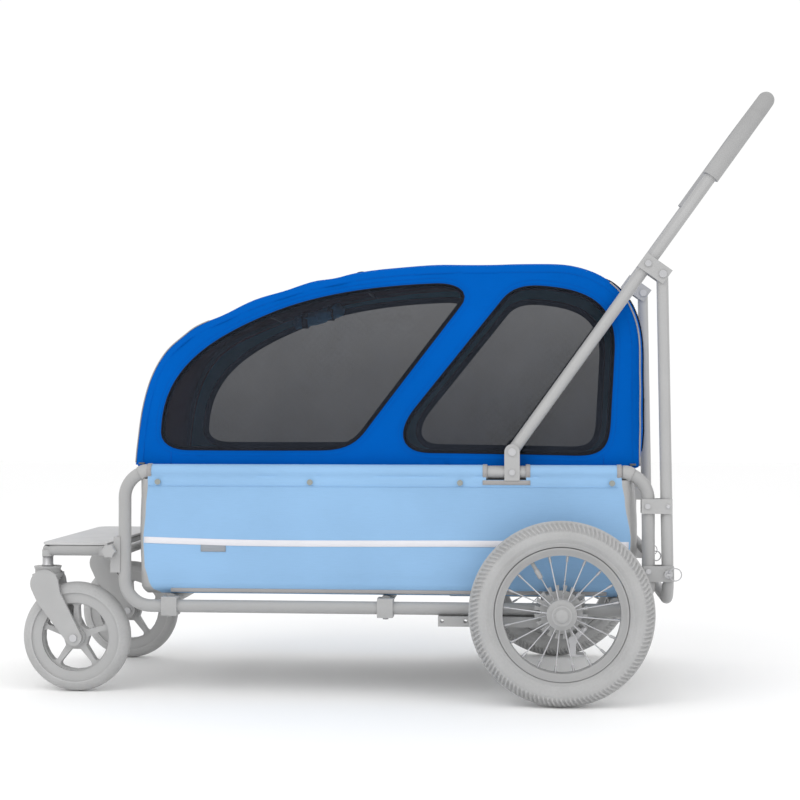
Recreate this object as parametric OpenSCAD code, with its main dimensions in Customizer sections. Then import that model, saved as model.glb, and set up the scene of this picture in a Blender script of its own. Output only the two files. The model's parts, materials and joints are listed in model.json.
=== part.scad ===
/* [Chassis] */
// Distance of the rear axle behind the middle of the trailer
rear_axle_x = 292; // [284:1:296]
// Centre line of the front posts
front_post_x = -463; // [-466:1:-460]
// Centre line of the rear posts
rear_post_x = 440; // [438:1:442]
// Height of the bottom rails' centre line
bottom_rail_z = 154; // [152:1:156]
// Height of the top rails' centre line
top_rail_z = 388; // [386:1:390]
// Half the distance between the two side frames
frame_y = 209; // [207:1:210]
// Diameter of the side frame tubes
frame_tube_d = 22; // [20:1:22]
// Centre-line radius of the side frames' corners
frame_bend_r = 46; // [40:1:50]

/* [Rear wheels] */
// Radius of the rear tyres
rear_wheel_r = 155; // [150:1:156]
// Half the rear track
rear_track_y = 270; // [268:1:275]
// Number of spokes in a rear wheel and of notches in its brake ring
spoke_count = 20; // [20:20:40]

/* [Casters] */
// Caster axle distance ahead of the middle of the trailer
caster_axle_x = -554.6; // [-556:0.1:-553]
// Radius of the caster tyres
caster_wheel_r = 96; // [94:1:97]
// Half the front track
caster_track_y = 184; // [180:1:186]
// Distance of the swivel stem ahead of the caster axle
caster_trail = 53.5; // [50:0.5:56]

/* [Front deck] */
// Front edge of the deck
deck_front_x = -622.5; // [-624:0.5:-618]
// Height of the deck's upper face
deck_top_z = 260.5; // [259:0.5:262]
// Half the width of the deck
deck_half_w = 196.5; // [192:0.5:196.5]

/* [Handle] */
// Handle pivot distance behind the middle
pivot_x = 209.8; // [206:0.1:214]
// Height of the handle pivot
pivot_z = 422.7; // [421:0.1:425]
// Slope of the handle above the horizontal, in degrees
handle_angle = 54.25; // [53:0.25:55]
// Length from the pivot to the cross bar's centre line
handle_length = 741; // [700:1:744]
// Diameter of the handle tube
handle_tube_d = 20.5; // [19:0.5:21]
// Outer diameter of the foam grip
grip_d = 29; // [26:1:32]

/* [Fabric body] */
// Height of the tub's underside
tub_bottom_z = 175.5; // [175:0.5:178]
// Height of the canopy's highest line
canopy_top_z = 744; // [735:1:745]
// Half the width of the canopy
canopy_half_w = 190; // [185:1:191]
// Thickness of the sewn cloth walls
cloth_t = 3; // [2:0.5:4]

/* [Hidden] */
$fn = 48;

paint = [0.67, 0.67, 0.67];
dark_grey = [0.62, 0.62, 0.62];
steel = [0.85, 0.85, 0.85];
sky_cloth = [0.60, 0.75, 0.91];
royal_cloth = [0.0, 0.37, 0.75];

running_gap = 0.06;      // radial clearance of every turning pin
side_gap = 0.5;          // clearance beside a turning part
plate_t = 2;             // thickness of bracket plates
frame_r = frame_tube_d / 2;
inner_plate_y = frame_y - frame_r - 0.5 - plate_t;
outer_plate_y = frame_y + frame_r + 0.5;
pin_r = 4;               // handle, strut and deck hinge pins

// --- placing helpers -------------------------------------------------------
// Everything sided is drawn on the left, where y is negative, and mirrored for the right.
module side(name) {
  if (name == "left") children();
  else mirror([0, 1, 0]) children();
}
module both_sides() for (s = ["left", "right"]) side(s) children();
// A rod along Y on the left side, from distance y0 to distance y1 off the middle
module rod_y(x, z, y0, y1, r) translate([x, -y1, z]) rotate([-90, 0, 0]) cylinder(h = y1 - y0, r = r);
// An upright sheet on the left side, drawn in x and z, between two distances off the middle
module sheet_y(y0, y1) translate([0, -y0, 0]) rotate([90, 0, 0]) linear_extrude(y1 - y0) children();
module block(x0, x1, y0, y1, z0, z1) translate([x0, -y1, z0]) cube([x1 - x0, y1 - y0, z1 - z0]);
module torus_arc(r, d, from, sweep) rotate([0, 0, from]) rotate_extrude(angle = sweep) translate([r, 0])
  circle(d = d);
// A button-head bolt on the left side: shank from y0 to y1 and a low head outside it
module bolt_y(x, z, y0, y1, r = 3, head_r = 5.5) {
  rod_y(x, z, y0, y1, r);
  rod_y(x, z, y1, y1 + 2.5, head_r);
  rod_y(x, z, y0 - 2.5, y0, head_r);
}
// Both cheek plates that straddle a tube of the side frame, drawn in x and z
module cheeks() {
  sheet_y(inner_plate_y, inner_plate_y + plate_t) children();
  sheet_y(outer_plate_y, outer_plate_y + plate_t) children();
}
function bezier(p, t) = (1-t)^3 * p[0] + 3*(1-t)^2*t * p[1] + 3*(1-t)*t^2 * p[2] + t^3 * p[3];
function curve(p, steps) = [for (i = [0:steps - 1]) bezier(p, i / steps)];

// --- side frames and floor -------------------------------------------------
module rounded_loop(x0, x1, z0, z1, r, d) {
  for (z = [z0, z1]) translate([x0 + r, 0, z]) rotate([0, 90, 0]) cylinder(h = x1 - x0 - 2*r, d = d);
  for (x = [x0, x1]) translate([x, 0, z0 + r]) cylinder(h = z1 - z0 - 2*r, d = d);
  for (c = [[x1 - r, z1 - r, 0], [x0 + r, z1 - r, 90], [x0 + r, z0 + r, 180], [x1 - r, z0 + r, 270]])
    translate([c[0], 0, c[1]]) rotate([90, 0, 0]) torus_arc(r, d, c[2], 90);
}
module side_frame(name) color(paint) side(name) difference() {
  translate([0, -frame_y, 0])
    rounded_loop(front_post_x, rear_post_x, bottom_rail_z, top_rail_z, frame_bend_r, frame_tube_d);
  rod_y(pivot_x, top_rail_z, frame_y - 15, frame_y + 15, 3);
}

cross_tube_d = 20;
cross_tube_z = tub_bottom_z - 1 - cross_tube_d / 2;
clamp_xs = [-382.5, -7.3];
module cross_tubes() color(paint) {
  end_y = frame_y - frame_r - 0.6;
  difference() {
    for (x = concat(clamp_xs, [rear_axle_x, 385])) rod_y(x, cross_tube_z, -frame_y, frame_y,
      cross_tube_d / 2);
    both_sides() translate([-500, -frame_y, bottom_rail_z]) rotate([0, 90, 0])
      cylinder(h = 1000, d = frame_tube_d);
    both_sides() block(-500, 500, frame_y, frame_y + 10, 100, 200);
    both_sides() block(-500, 500, end_y + 4, frame_y + 10, bottom_rail_z, 200);
  }
  for (x = [front_post_x, rear_post_x]) rod_y(x, 250, -end_y, end_y, 8);
}
module floor_board() color("tan")
  block(-422, 392, -198, 198, tub_bottom_z + cloth_t + 0.5, tub_bottom_z + cloth_t + 6.5);
module floor_mat() color("silver")
  block(-420, 390, -196, 196, tub_bottom_z + cloth_t + 7, tub_bottom_z + cloth_t + 22);
clamp_w = 27;
module rail_clamps() color(dark_grey) both_sides() for (x = clamp_xs) {
  difference() {
    block(x - clamp_w/2, x + clamp_w/2, inner_plate_y - 4, outer_plate_y + plate_t, 138.5, 171);
    clamp_hollows(x);
  }
  translate([x, -frame_y, 135]) cylinder(h = 3.5, r = 5);
}
module clamp_hollows(x) {
  translate([x - clamp_w/2 - 1, -frame_y, bottom_rail_z]) rotate([0, 90, 0])
    cylinder(h = clamp_w + 2, d = frame_tube_d);
  rod_y(x, cross_tube_z, 0, frame_y, cross_tube_d/2);
}

// --- rear axle ------------------------------------------------------------
channel_x = [83.8, 336];
channel_z = [125.6, 142.6];
tow_hole_x = [90.6, 130.6];
tow_hole_z = 137.8;
brake_x = rear_axle_x + 20;
brake_z = rear_wheel_r - 49;
brake_bar_r = 5;
spindle_r = 6;
axle_plate_y = outer_plate_y + 1;
axle_plate_t = 5;
module axle_bracket(name) color(dark_grey) side(name) difference() {
  union() {
    block(channel_x[0], channel_x[1], frame_y - 8, axle_plate_y + axle_plate_t, channel_z[0], channel_z[1]);
    block(rear_axle_x - 34, rear_axle_x + 40, axle_plate_y, axle_plate_y + axle_plate_t, channel_z[0], 182);
    block(brake_x - 11, brake_x + 11, axle_plate_y, axle_plate_y + axle_plate_t, brake_z, channel_z[0]);
    rod_y(brake_x, brake_z, axle_plate_y, axle_plate_y + axle_plate_t, 11);
  }
  block(channel_x[0] - 1, channel_x[1] - 3, frame_y - 5, axle_plate_y + axle_plate_t - 3,
    channel_z[0] - 1, channel_z[1] - 3);
  rod_y(rear_axle_x, rear_wheel_r, axle_plate_y - 1, axle_plate_y + axle_plate_t + 1, spindle_r);
  rod_y(brake_x, brake_z, axle_plate_y - 20, axle_plate_y + axle_plate_t + 1, brake_bar_r + running_gap);
  for (x = tow_hole_x) rod_y(x, tow_hole_z - 3, frame_y - 12, axle_plate_y + axle_plate_t + 1, 3.3);
}
hub_y = [250, 288];
module axle_spindles() color(steel) both_sides() {
  rod_y(rear_axle_x, rear_wheel_r, axle_plate_y - 0.5, hub_y[1] - 1, spindle_r);
  rod_y(rear_axle_x, rear_wheel_r, axle_plate_y + axle_plate_t, 238, 11);
}

// --- rear wheels -----------------------------------------------------------
rim_r = [98, 111];
tyre_half_w = 22.5;
module turned_y(x, z, y) translate([x, -y, z]) rotate([90, 0, 0]) rotate_extrude() children();
module at_rear_wheel() turned_y(rear_axle_x, rear_wheel_r, rear_track_y) children();
module rear_tyre(name) color([0.68, 0.68, 0.68]) side(name) at_rear_wheel() difference() {
  union() {
    translate([rear_wheel_r - tyre_half_w, 0]) circle(r = tyre_half_w);
    translate([rim_r[1] - 1, -15]) square([20, 30]);
  }
  translate([0, -15.2]) square([rim_r[1], 30.4]);
  translate([rim_r[1] + 12, 0]) circle(r = 9);
}
module rear_rim(name) color("silver") side(name) {
  at_rear_wheel() polygon([[rim_r[0], -11], [rim_r[1] - 3, -15], [rim_r[1], -15], [rim_r[1], -12.5],
    [rim_r[1] - 6, -9], [rim_r[1] - 6, 9], [rim_r[1], 12.5], [rim_r[1], 15], [rim_r[1] - 3, 15],
      [rim_r[0], 11]]);
  translate([rear_axle_x, -rear_track_y, rear_wheel_r]) rotate([0, -30, 0]) translate([0, 0, 74])
    cylinder(h = rim_r[0] - 73.5, r = 3.2);
}
flange_r = 25;
flange_y = 13;
module spokes(name) color(steel) side(name) for (i = [0:spoke_count - 1])
  translate([rear_axle_x, -rear_track_y, rear_wheel_r]) rotate([0, 360 / spoke_count * i + 6, 0])
    translate([0, (i % 2 == 0 ? 1 : -1) * flange_y, flange_r - 4])
      rotate([(i % 2 == 0 ? 1 : -1) * atan(flange_y / (rim_r[0] - flange_r + 4)), 0, 0])
        cylinder(h = norm([flange_y, rim_r[0] - flange_r + 4]) + 2, r = 1.1);
brake_ring_r = 45;
brake_ring_y = [240, 247];
notch_w = 7;
module rear_hub(name) color(dark_grey) side(name) difference() {
  union() {
    rod_y(rear_axle_x, rear_wheel_r, hub_y[0], hub_y[1], 16);
    for (y = [-flange_y, flange_y]) rod_y(rear_axle_x, rear_wheel_r, rear_track_y + y - 1.5,
      rear_track_y + y + 1.5, flange_r);
    rod_y(rear_axle_x, rear_wheel_r, brake_ring_y[0], hub_y[0], 24);
    difference() {
      rod_y(rear_axle_x, rear_wheel_r, brake_ring_y[0], brake_ring_y[1], brake_ring_r);
      for (i = [0:spoke_count - 1]) translate([rear_axle_x, 0, rear_wheel_r])
        rotate([0, 360 / spoke_count * i, 0])
        block(brake_ring_r - 9, brake_ring_r + 2, brake_ring_y[0] - 1, brake_ring_y[1] + 1, -notch_w/2,
          notch_w/2);
    }
  }
  rod_y(rear_axle_x, rear_wheel_r, brake_ring_y[0] - 1, hub_y[1] + 1, spindle_r + running_gap);
}
module hub_cap(name) color(dark_grey) side(name) turned_y(rear_axle_x, rear_wheel_r, hub_y[1]) difference() {
  intersection() {
    translate([0, -24]) circle(r = 35, $fn = 96);
    square([flange_r, 20]);
  }
  square([spindle_r + 2, 1]);
}

// --- casters ----------------------------------------------------------------
stem_x = caster_axle_x - caster_trail;
fork_half_w = 25;
fork_inner = 19;
stem_r = 6;
boss_z = [236.5, 248];
collar_z = 219;
axle_bolt_r = 4;
module at_caster() translate([0, -caster_track_y, 0]) children();
module caster_fork(name) color(dark_grey) side(name) at_caster() difference() {
  union() {
    translate([stem_x, 0, collar_z - 6]) cylinder(h = 6, r1 = 22, r2 = 24);
    translate([stem_x, 0, 196]) cylinder(h = collar_z - 202, r = 22);
    translate([stem_x, 0, collar_z]) cylinder(h = 35.5, r = stem_r);
    translate([stem_x, 0, collar_z]) cylinder(h = boss_z[0] - collar_z - side_gap, r = 9);
    for (y = [-fork_half_w, fork_inner]) translate([0, y + fork_half_w - fork_inner, 0]) rotate([90, 0, 0])
      linear_extrude(fork_half_w - fork_inner) {
        hull() {
          translate([stem_x + 1, 190]) circle(r = 25, $fn = 32);
          translate([stem_x + 8, 168]) circle(r = 22, $fn = 32);
        }
        hull() {
          translate([stem_x + 8, 168]) circle(r = 22, $fn = 32);
          translate([caster_axle_x, caster_wheel_r]) circle(r = 14, $fn = 32);
        }
      }
    translate([stem_x - 20, -fork_half_w, 199]) cube([42, 2*fork_half_w, 8]);
  }
  rod_y(caster_axle_x, caster_wheel_r, -40, 40, axle_bolt_r);
}
module caster_axle(name) color(steel) side(name) at_caster() {
  rod_y(caster_axle_x, caster_wheel_r, -fork_half_w, fork_half_w, axle_bolt_r);
  for (y = [-fork_half_w - 3.5, fork_half_w]) rod_y(caster_axle_x, caster_wheel_r, y, y + 3.5, 6.5);
}
caster_rim_r = [60, 78];
caster_half_w = 16;
caster_spoke_count = 5;
module at_caster_wheel() turned_y(caster_axle_x, caster_wheel_r, caster_track_y) children();
module caster_tyre(name) color([0.68, 0.68, 0.68]) side(name) at_caster_wheel() difference() {
  union() {
    translate([caster_wheel_r - caster_half_w, 0]) circle(r = caster_half_w);
    translate([caster_rim_r[1] - 1, -13]) square([6, 26]);
  }
  translate([0, -17]) square([caster_rim_r[1], 34]);
}
// A rounded three-cornered window between two spokes of a caster wheel
module caster_window() hull() {
  for (a = [-15, 15]) rotate(a) translate([0, 26]) circle(r = 3.5, $fn = 32);
  for (a = [-25, -12.5, 0, 12.5, 25]) rotate(a) translate([0, caster_rim_r[0] - 8]) circle(r = 6, $fn = 32);
}
module caster_rim(name) color("silver") side(name) difference() {
  union() {
    at_caster_wheel() translate([caster_rim_r[0], -13]) square([caster_rim_r[1] - caster_rim_r[0], 26]);
    at_caster_wheel() translate([0, -15]) square([17, 30]);
    rod_y(caster_axle_x, caster_wheel_r, caster_track_y - 8, caster_track_y + 8, caster_rim_r[0] + 1);
  }
  sheet_y(caster_track_y - 9, caster_track_y + 9) translate([caster_axle_x, caster_wheel_r])
    for (i = [0:caster_spoke_count - 1]) rotate(360 / caster_spoke_count * i + 180) caster_window();
  rod_y(caster_axle_x, caster_wheel_r, caster_track_y - 20, caster_track_y + 20, axle_bolt_r + running_gap);
}

// --- front deck ---------------------------------------------------------------
deck_pivot_x = -486;
deck_pivot_z = 250;
deck_tube_d = 19;
deck_tube_z = 247.3;
deck_tube_y = deck_half_w - deck_tube_d / 2;
deck_rear_x = deck_pivot_x - 13;
deck_corner_r = 24;
module deck_tubes() {
  front = deck_front_x + deck_tube_d / 2;
  for (y = [-1, 1]) translate([front + deck_corner_r, y * deck_tube_y, deck_tube_z]) rotate([0, 90, 0])
    cylinder(h = deck_rear_x - front - deck_corner_r, d = deck_tube_d);
  both_sides() translate([front + deck_corner_r, -deck_tube_y + deck_corner_r, deck_tube_z])
    torus_arc(deck_corner_r, deck_tube_d, 180, 90);
  translate([front, -deck_tube_y + deck_corner_r, deck_tube_z]) rotate([-90, 0, 0])
    cylinder(h = 2 * (deck_tube_y - deck_corner_r), d = deck_tube_d);
  rod_y(deck_rear_x - deck_tube_d / 2, deck_tube_z, -deck_tube_y, deck_tube_y, deck_tube_d / 2);
}
module deck_frame() color(dark_grey) difference() {
  union() {
    deck_tubes();
    both_sides() {
      translate([stem_x, -caster_track_y, boss_z[0]]) cylinder(h = boss_z[1] - boss_z[0], r = 10);
      rod_y(deck_pivot_x, deck_pivot_z, frame_y - 8, frame_y + 7, 9);
      block(deck_rear_x - 8, deck_pivot_x, frame_y - 8, frame_y + 7, deck_pivot_z - 9, deck_pivot_z + 3);
      block(deck_rear_x - 8, deck_rear_x, deck_tube_y, frame_y + 7, deck_pivot_z - 9, deck_pivot_z + 3);
    }
  }
  both_sides() {
    translate([stem_x, -caster_track_y, boss_z[0] - 1]) cylinder(h = 40, r = stem_r + running_gap);
    rod_y(deck_pivot_x, deck_pivot_z, frame_y - 9, frame_y + 9, pin_r + running_gap);
  }
}
module deck_plate() color("lightgrey") {
  plate_z = deck_tube_z + deck_tube_d / 2 + 0.2;
  corner = 20;
  front = deck_front_x + 4;
  half = deck_half_w - 4;
  translate([0, 0, plate_z]) linear_extrude(deck_top_z - plate_z) {
    translate([front + corner, -half]) square([deck_rear_x - front - corner, 2 * half]);
    translate([front, corner - half]) square([corner + 1, 2 * (half - corner)]);
    for (y = [-1, 1]) translate([front + corner, y * (half - corner)]) circle(r = corner);
  }
}
bracket_rear_x = front_post_x - frame_r + 5;
module deck_hinge_brackets() color(dark_grey) both_sides() difference() {
  union() {
    for (y = [frame_y - 11.5, frame_y + 7.5]) sheet_y(y, y + 3) {
      translate([deck_pivot_x, deck_pivot_z]) circle(r = 11);
      translate([deck_pivot_x, deck_pivot_z - 38]) square([bracket_rear_x - deck_pivot_x, 38]);
      translate([deck_pivot_x + 5.5, deck_pivot_z]) square([bracket_rear_x - deck_pivot_x - 5.5, 24]);
    }
    block(front_post_x - frame_r - 3, front_post_x - frame_r + 2, frame_y - 8, frame_y + 8,
      deck_pivot_z - 38, deck_pivot_z - 14);
  }
  rod_y(deck_pivot_x, deck_pivot_z, frame_y - 20, frame_y + 20, pin_r);
  translate([front_post_x, -frame_y, deck_pivot_z - 50]) cylinder(h = 100, d = frame_tube_d);
}
module deck_hinge_bolts() color(steel) both_sides() {
  rod_y(deck_pivot_x, deck_pivot_z, frame_y - 11.5, frame_y + 22, pin_r);
  rod_y(deck_pivot_x, deck_pivot_z, frame_y - 15, frame_y - 11.5, 7);
}
module deck_knob(name) color(dark_grey) side(name) difference() {
  union() {
    rod_y(deck_pivot_x, deck_pivot_z, frame_y + 11, frame_y + 15, 7);
    rod_y(deck_pivot_x, deck_pivot_z, frame_y + 15, frame_y + 25, 10);
    for (a = [0:60:300]) rod_y(deck_pivot_x + 9 * cos(a), deck_pivot_z + 9 * sin(a), frame_y + 15,
      frame_y + 25, 3);
  }
  rod_y(deck_pivot_x, deck_pivot_z, frame_y + 10, frame_y + 22.5, pin_r + running_gap);
}

// --- handle and rear strut ----------------------------------------------------
module in_handle_frame() translate([pivot_x, 0, pivot_z]) rotate([0, -handle_angle, 0]) children();
handle_bend_r = 40;
link_at = 393;           // distance of the link plates up the handle
link_reach = 30.3;       // from the handle's axis back to the strut's hinge
strut_hinge_x = pivot_x + link_at * cos(handle_angle) + link_reach * sin(handle_angle);
strut_hinge_z = pivot_z + link_at * sin(handle_angle) - link_reach * cos(handle_angle);
// A wide U of tube lying in x and y, with its open ends at start
module u_tube(start, length, d) {
  for (y = [-1, 1]) translate([start, y * frame_y, 0]) rotate([0, 90, 0])
    cylinder(h = length - handle_bend_r - start, d = d);
  both_sides() translate([length - handle_bend_r, -frame_y + handle_bend_r, 0])
    torus_arc(handle_bend_r, d, -90, 90);
  translate([length, -frame_y + handle_bend_r, 0]) rotate([-90, 0, 0])
    cylinder(h = 2 * (frame_y - handle_bend_r), d = d);
}
module handle_tube() color(paint) in_handle_frame() difference() {
  union() {
    u_tube(0, handle_length, handle_tube_d);
    for (y = [-1, 1]) translate([0, y * frame_y, 0]) sphere(d = handle_tube_d);
  }
  both_sides() rod_y(0, 0, frame_y - 15, frame_y + 15, pin_r + running_gap);
  both_sides() rod_y(link_at, 0, frame_y - 15, frame_y + 15, 3);
}
grip_start = 574;
module handle_grip() color(dark_grey) in_handle_frame() difference() {
  u_tube(grip_start, handle_length, grip_d);
  u_tube(grip_start - 1, handle_length, handle_tube_d);
}
// A strip with two bolt holes and straight ends, lying across the handle
module link_plates() color(paint) in_handle_frame() both_sides() difference() {
  cheeks() translate([link_at - 14, -link_reach - 10]) square([28, link_reach + 22]);
  rod_y(link_at, 0, frame_y - 20, frame_y + 20, 3);
  rod_y(link_at, -link_reach, frame_y - 20, frame_y + 20, pin_r);
}
module strut_bolts() color(steel) in_handle_frame() both_sides() {
  bolt_y(link_at, 0, inner_plate_y, outer_plate_y + plate_t);
  bolt_y(link_at, -link_reach, inner_plate_y, outer_plate_y + plate_t, pin_r, 6.5);
}
strut_tube_d = 20;
strut_bottom_z = 172;    // centre line of the strut's cross bar
strut_lean = 0.95;       // degrees that the legs lean back from the vertical
strut_bend_r = 38;
lock_pin_x = 472.4;
lock_pin_z = 217.6;
module in_strut_frame() translate([strut_hinge_x, 0, strut_hinge_z]) rotate([0, -strut_lean, 0]) children();
module strut_tube() {
  drop = strut_hinge_z - strut_bottom_z;
  pin_drop = strut_hinge_z - lock_pin_z;
  color(paint) in_strut_frame() difference() {
    union() {
      both_sides() {
        translate([0, -frame_y, strut_bend_r - drop]) cylinder(h = drop - strut_bend_r, d = strut_tube_d);
        translate([0, -frame_y, 0]) sphere(d = strut_tube_d);
        translate([0, -frame_y + strut_bend_r, strut_bend_r - drop]) rotate([90, 0, 90])
          torus_arc(strut_bend_r, strut_tube_d, 180, 90);
      }
      rod_y(0, -drop, -frame_y + strut_bend_r, frame_y - strut_bend_r, strut_tube_d / 2);
    }
    both_sides() {
      rod_y(0, 0, frame_y - 15, frame_y + 15, pin_r + running_gap);
      rod_y(0, -pin_drop, frame_y - 15, frame_y + 15, pin_r + side_gap);
      sheet_y(frame_y - 15, frame_y + 15) polygon([
        [0, side_gap + pin_r - pin_drop], [-20, side_gap + pin_r - pin_drop], [-20, -32 - pin_drop],
          [3.6, -3 - pin_drop]]);
    }
  }
}
module handle_brackets() color(paint) both_sides() {
  difference() {
    cheeks() union() {
      translate([pivot_x - 13, top_rail_z - 14]) square([26, pivot_z - top_rail_z + 14]);
      translate([pivot_x, pivot_z]) circle(r = 13);
    }
    rod_y(pivot_x, pivot_z, frame_y - 20, frame_y + 20, pin_r);
    rod_y(pivot_x, top_rail_z, frame_y - 20, frame_y + 20, 3);
  }
}
module handle_pivot_bolts() color(steel) both_sides() {
  bolt_y(pivot_x, pivot_z, inner_plate_y, outer_plate_y + plate_t, pin_r, 6.5);
  bolt_y(pivot_x, top_rail_z, inner_plate_y, outer_plate_y + plate_t, 3, 5);
}
guide_z = [318.8, 343.8];
clevis_z = [204.3, 230.9];
guide_bolt_z = 331.5;
clevis_bolt_z = 221.6;
module strut_guides() color(paint) both_sides() difference() {
  cheeks() translate([rear_post_x - 12, guide_z[0]]) square([51.5, guide_z[1] - guide_z[0]]);
  rod_y(rear_post_x - 2, guide_bolt_z, frame_y - 20, frame_y + 20, 3);
}
module strut_clevises() color(paint) both_sides() difference() {
  cheeks() translate([rear_post_x - 9, clevis_z[0]]) square([51, clevis_z[1] - clevis_z[0]]);
  rod_y(rear_post_x - 1, clevis_bolt_z, frame_y - 20, frame_y + 20, 3);
  rod_y(lock_pin_x, lock_pin_z, frame_y - 20, frame_y + 20, pin_r + running_gap);
}
module frame_bolts() color(steel) both_sides() {
  difference() {
    union() {
      bolt_y(rear_post_x - 2, guide_bolt_z, inner_plate_y, outer_plate_y + plate_t, 3, 4.5);
      bolt_y(rear_post_x - 1, clevis_bolt_z, inner_plate_y, outer_plate_y + plate_t, 3, 4.5);
    }
    for (z = [guide_bolt_z, clevis_bolt_z]) translate([rear_post_x, -frame_y, z - 10])
      cylinder(h = 20, d = frame_tube_d);
  }
  rod_y(lock_pin_x, guide_bolt_z, outer_plate_y + plate_t, outer_plate_y + plate_t + 2, 3.5);
  for (x = [rear_axle_x - 24, rear_axle_x + 30])
    rod_y(x, 172, axle_plate_y + axle_plate_t, axle_plate_y + axle_plate_t + 3, 5);
}
pin_head_y = outer_plate_y + plate_t + 0.5;
ring_y = pin_head_y + 8.5;
module lock_pin(name) color(steel) side(name) difference() {
  union() {
    rod_y(lock_pin_x, lock_pin_z, inner_plate_y - 4, pin_head_y, pin_r);
    rod_y(lock_pin_x, lock_pin_z, pin_head_y, pin_head_y + 5.5, 7);
    block(lock_pin_x - 4, lock_pin_x + 4, pin_head_y + 5.5, ring_y + 3, lock_pin_z - 1.5, lock_pin_z + 1.5);
  }
  translate([lock_pin_x, -ring_y, lock_pin_z - 12]) cylinder(h = 24, r = 1.5);
}
ring_r = 10.5;
module pin_ring(name) color(steel) side(name)
  translate([lock_pin_x + ring_r, -ring_y, lock_pin_z]) rotate([90, 0, 0]) torus_arc(ring_r, 1.8, 0, 360);
module keeper_loop() color(steel) translate([rear_post_x + frame_r + 1.8, -frame_y, 247]) rotate([90, 0, 0])
  difference() {
    union() {
      torus_arc(8, 2, 0, 360);
      translate([-8.5, 0, -2]) cube([4, 6, 4]);
    }
    translate([-frame_r - 1.8, -20, 0]) rotate([-90, 0, 0]) cylinder(h = 60, d = frame_tube_d);
  }

// --- parking brake --------------------------------------------------------------
tooth_angle = -36;       // where the tooth meets the ring, measured about the axle
tooth_x = rear_axle_x + 49 * cos(tooth_angle);
tooth_z = rear_wheel_r + 49 * sin(tooth_angle);
module brake_bar() color(steel) {
  rod_y(brake_x, brake_z, -235, 235, brake_bar_r);
  both_sides() {
    sheet_y(231, 235) {
      translate([brake_x, brake_z]) circle(r = 8);
      hull() {
        translate([brake_x, brake_z]) circle(r = 5, $fn = 32);
        translate([tooth_x, tooth_z]) circle(r = 4, $fn = 32);
      }
      translate([brake_x - 5, brake_z - 24]) square([10, 24]);
    }
    block(brake_x - 5, brake_x + 22, 205, 235, brake_z - 27, brake_z - 24);
    rod_y(tooth_x, tooth_z, 231, 245, 2.5);
  }
}

// --- fabric tub -------------------------------------------------------------------
tub_x = [-421, 394];
sleeve_gap = [166, 233];
module tub_side(name) color(sky_cloth) side(name) difference() {
  translate([tub_x[0], 0, 0]) rotate([90, 0, 90]) linear_extrude(tub_x[1] - tub_x[0]) {
    difference() {
      union() {
        translate([-frame_y, top_rail_z]) circle(r = frame_r + 2.3);
        translate([-frame_y - frame_r - 2.3, top_rail_z - 28]) square([2, 28]);
      }
      translate([-frame_y, top_rail_z]) circle(r = frame_r + 0.3);
    }
    translate([-frame_y - 1.5, tub_bottom_z + cloth_t + 0.5])
      square([cloth_t, top_rail_z - frame_r - 1 - tub_bottom_z - cloth_t]);
  }
  block(sleeve_gap[0], sleeve_gap[1], frame_y - 20, frame_y + 20, top_rail_z - 30, top_rail_z + 20);
}
end_half_w = frame_y - frame_r - 2;
module tub_end_front() color("silver") block(-436, -436 + cloth_t, -end_half_w, end_half_w,
  tub_bottom_z + cloth_t + 0.5, 399);
module tub_end_rear() color("silver") block(409, 409 + cloth_t, -end_half_w, end_half_w,
  tub_bottom_z + cloth_t + 0.5, 399);
module tub_floor() color("silver") block(-436, 409 + cloth_t, -end_half_w, end_half_w, tub_bottom_z,
  tub_bottom_z + cloth_t);
snap_xs = [-402, -136.5, 121.3, 378.5];
module snap_buttons() color("dimgrey") both_sides() for (x = snap_xs)
  rod_y(x, top_rail_z - 18, frame_y + frame_r + 2.3, frame_y + frame_r + 4.3, 5);

// --- canopy -------------------------------------------------------------------------
canopy_base_z = 403;
canopy_nose_x = -449;
canopy_tail_x = 427;
canopy_skirt = 60;       // how far the outline runs on below the base before it is cut
shoulder_r = 18;
function canopy_roof_line() = concat(
  curve([[canopy_nose_x, canopy_base_z], [canopy_nose_x + 6, 530], [-420, 610], [-330, 650]], 8),
  curve([[-330, 650], [-210, 700], [-60, canopy_top_z], [150, canopy_top_z]], 8),
  curve([[275, canopy_top_z], [370, canopy_top_z], [canopy_tail_x, 690], [canopy_tail_x, 600]], 10),
  [[canopy_tail_x, 600]]);
function canopy_outline() = concat(canopy_roof_line(),
  [for (x = [canopy_tail_x, canopy_nose_x]) [x, canopy_base_z - canopy_skirt]]);
module canopy_body(inset) intersection() {
  hull() for (a = [0, 30, 60, 90]) {
    half = canopy_half_w - inset - shoulder_r * (1 - sin(a));
    rotate([90, 0, 0]) translate([0, 0, -half]) linear_extrude(2 * half)
      offset(delta = -inset - shoulder_r * (1 - cos(a))) polygon(canopy_outline());
  }
  block(-500, 500, -300, 300, canopy_base_z - (inset > 0 ? 1 : 0), 900);
}
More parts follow.
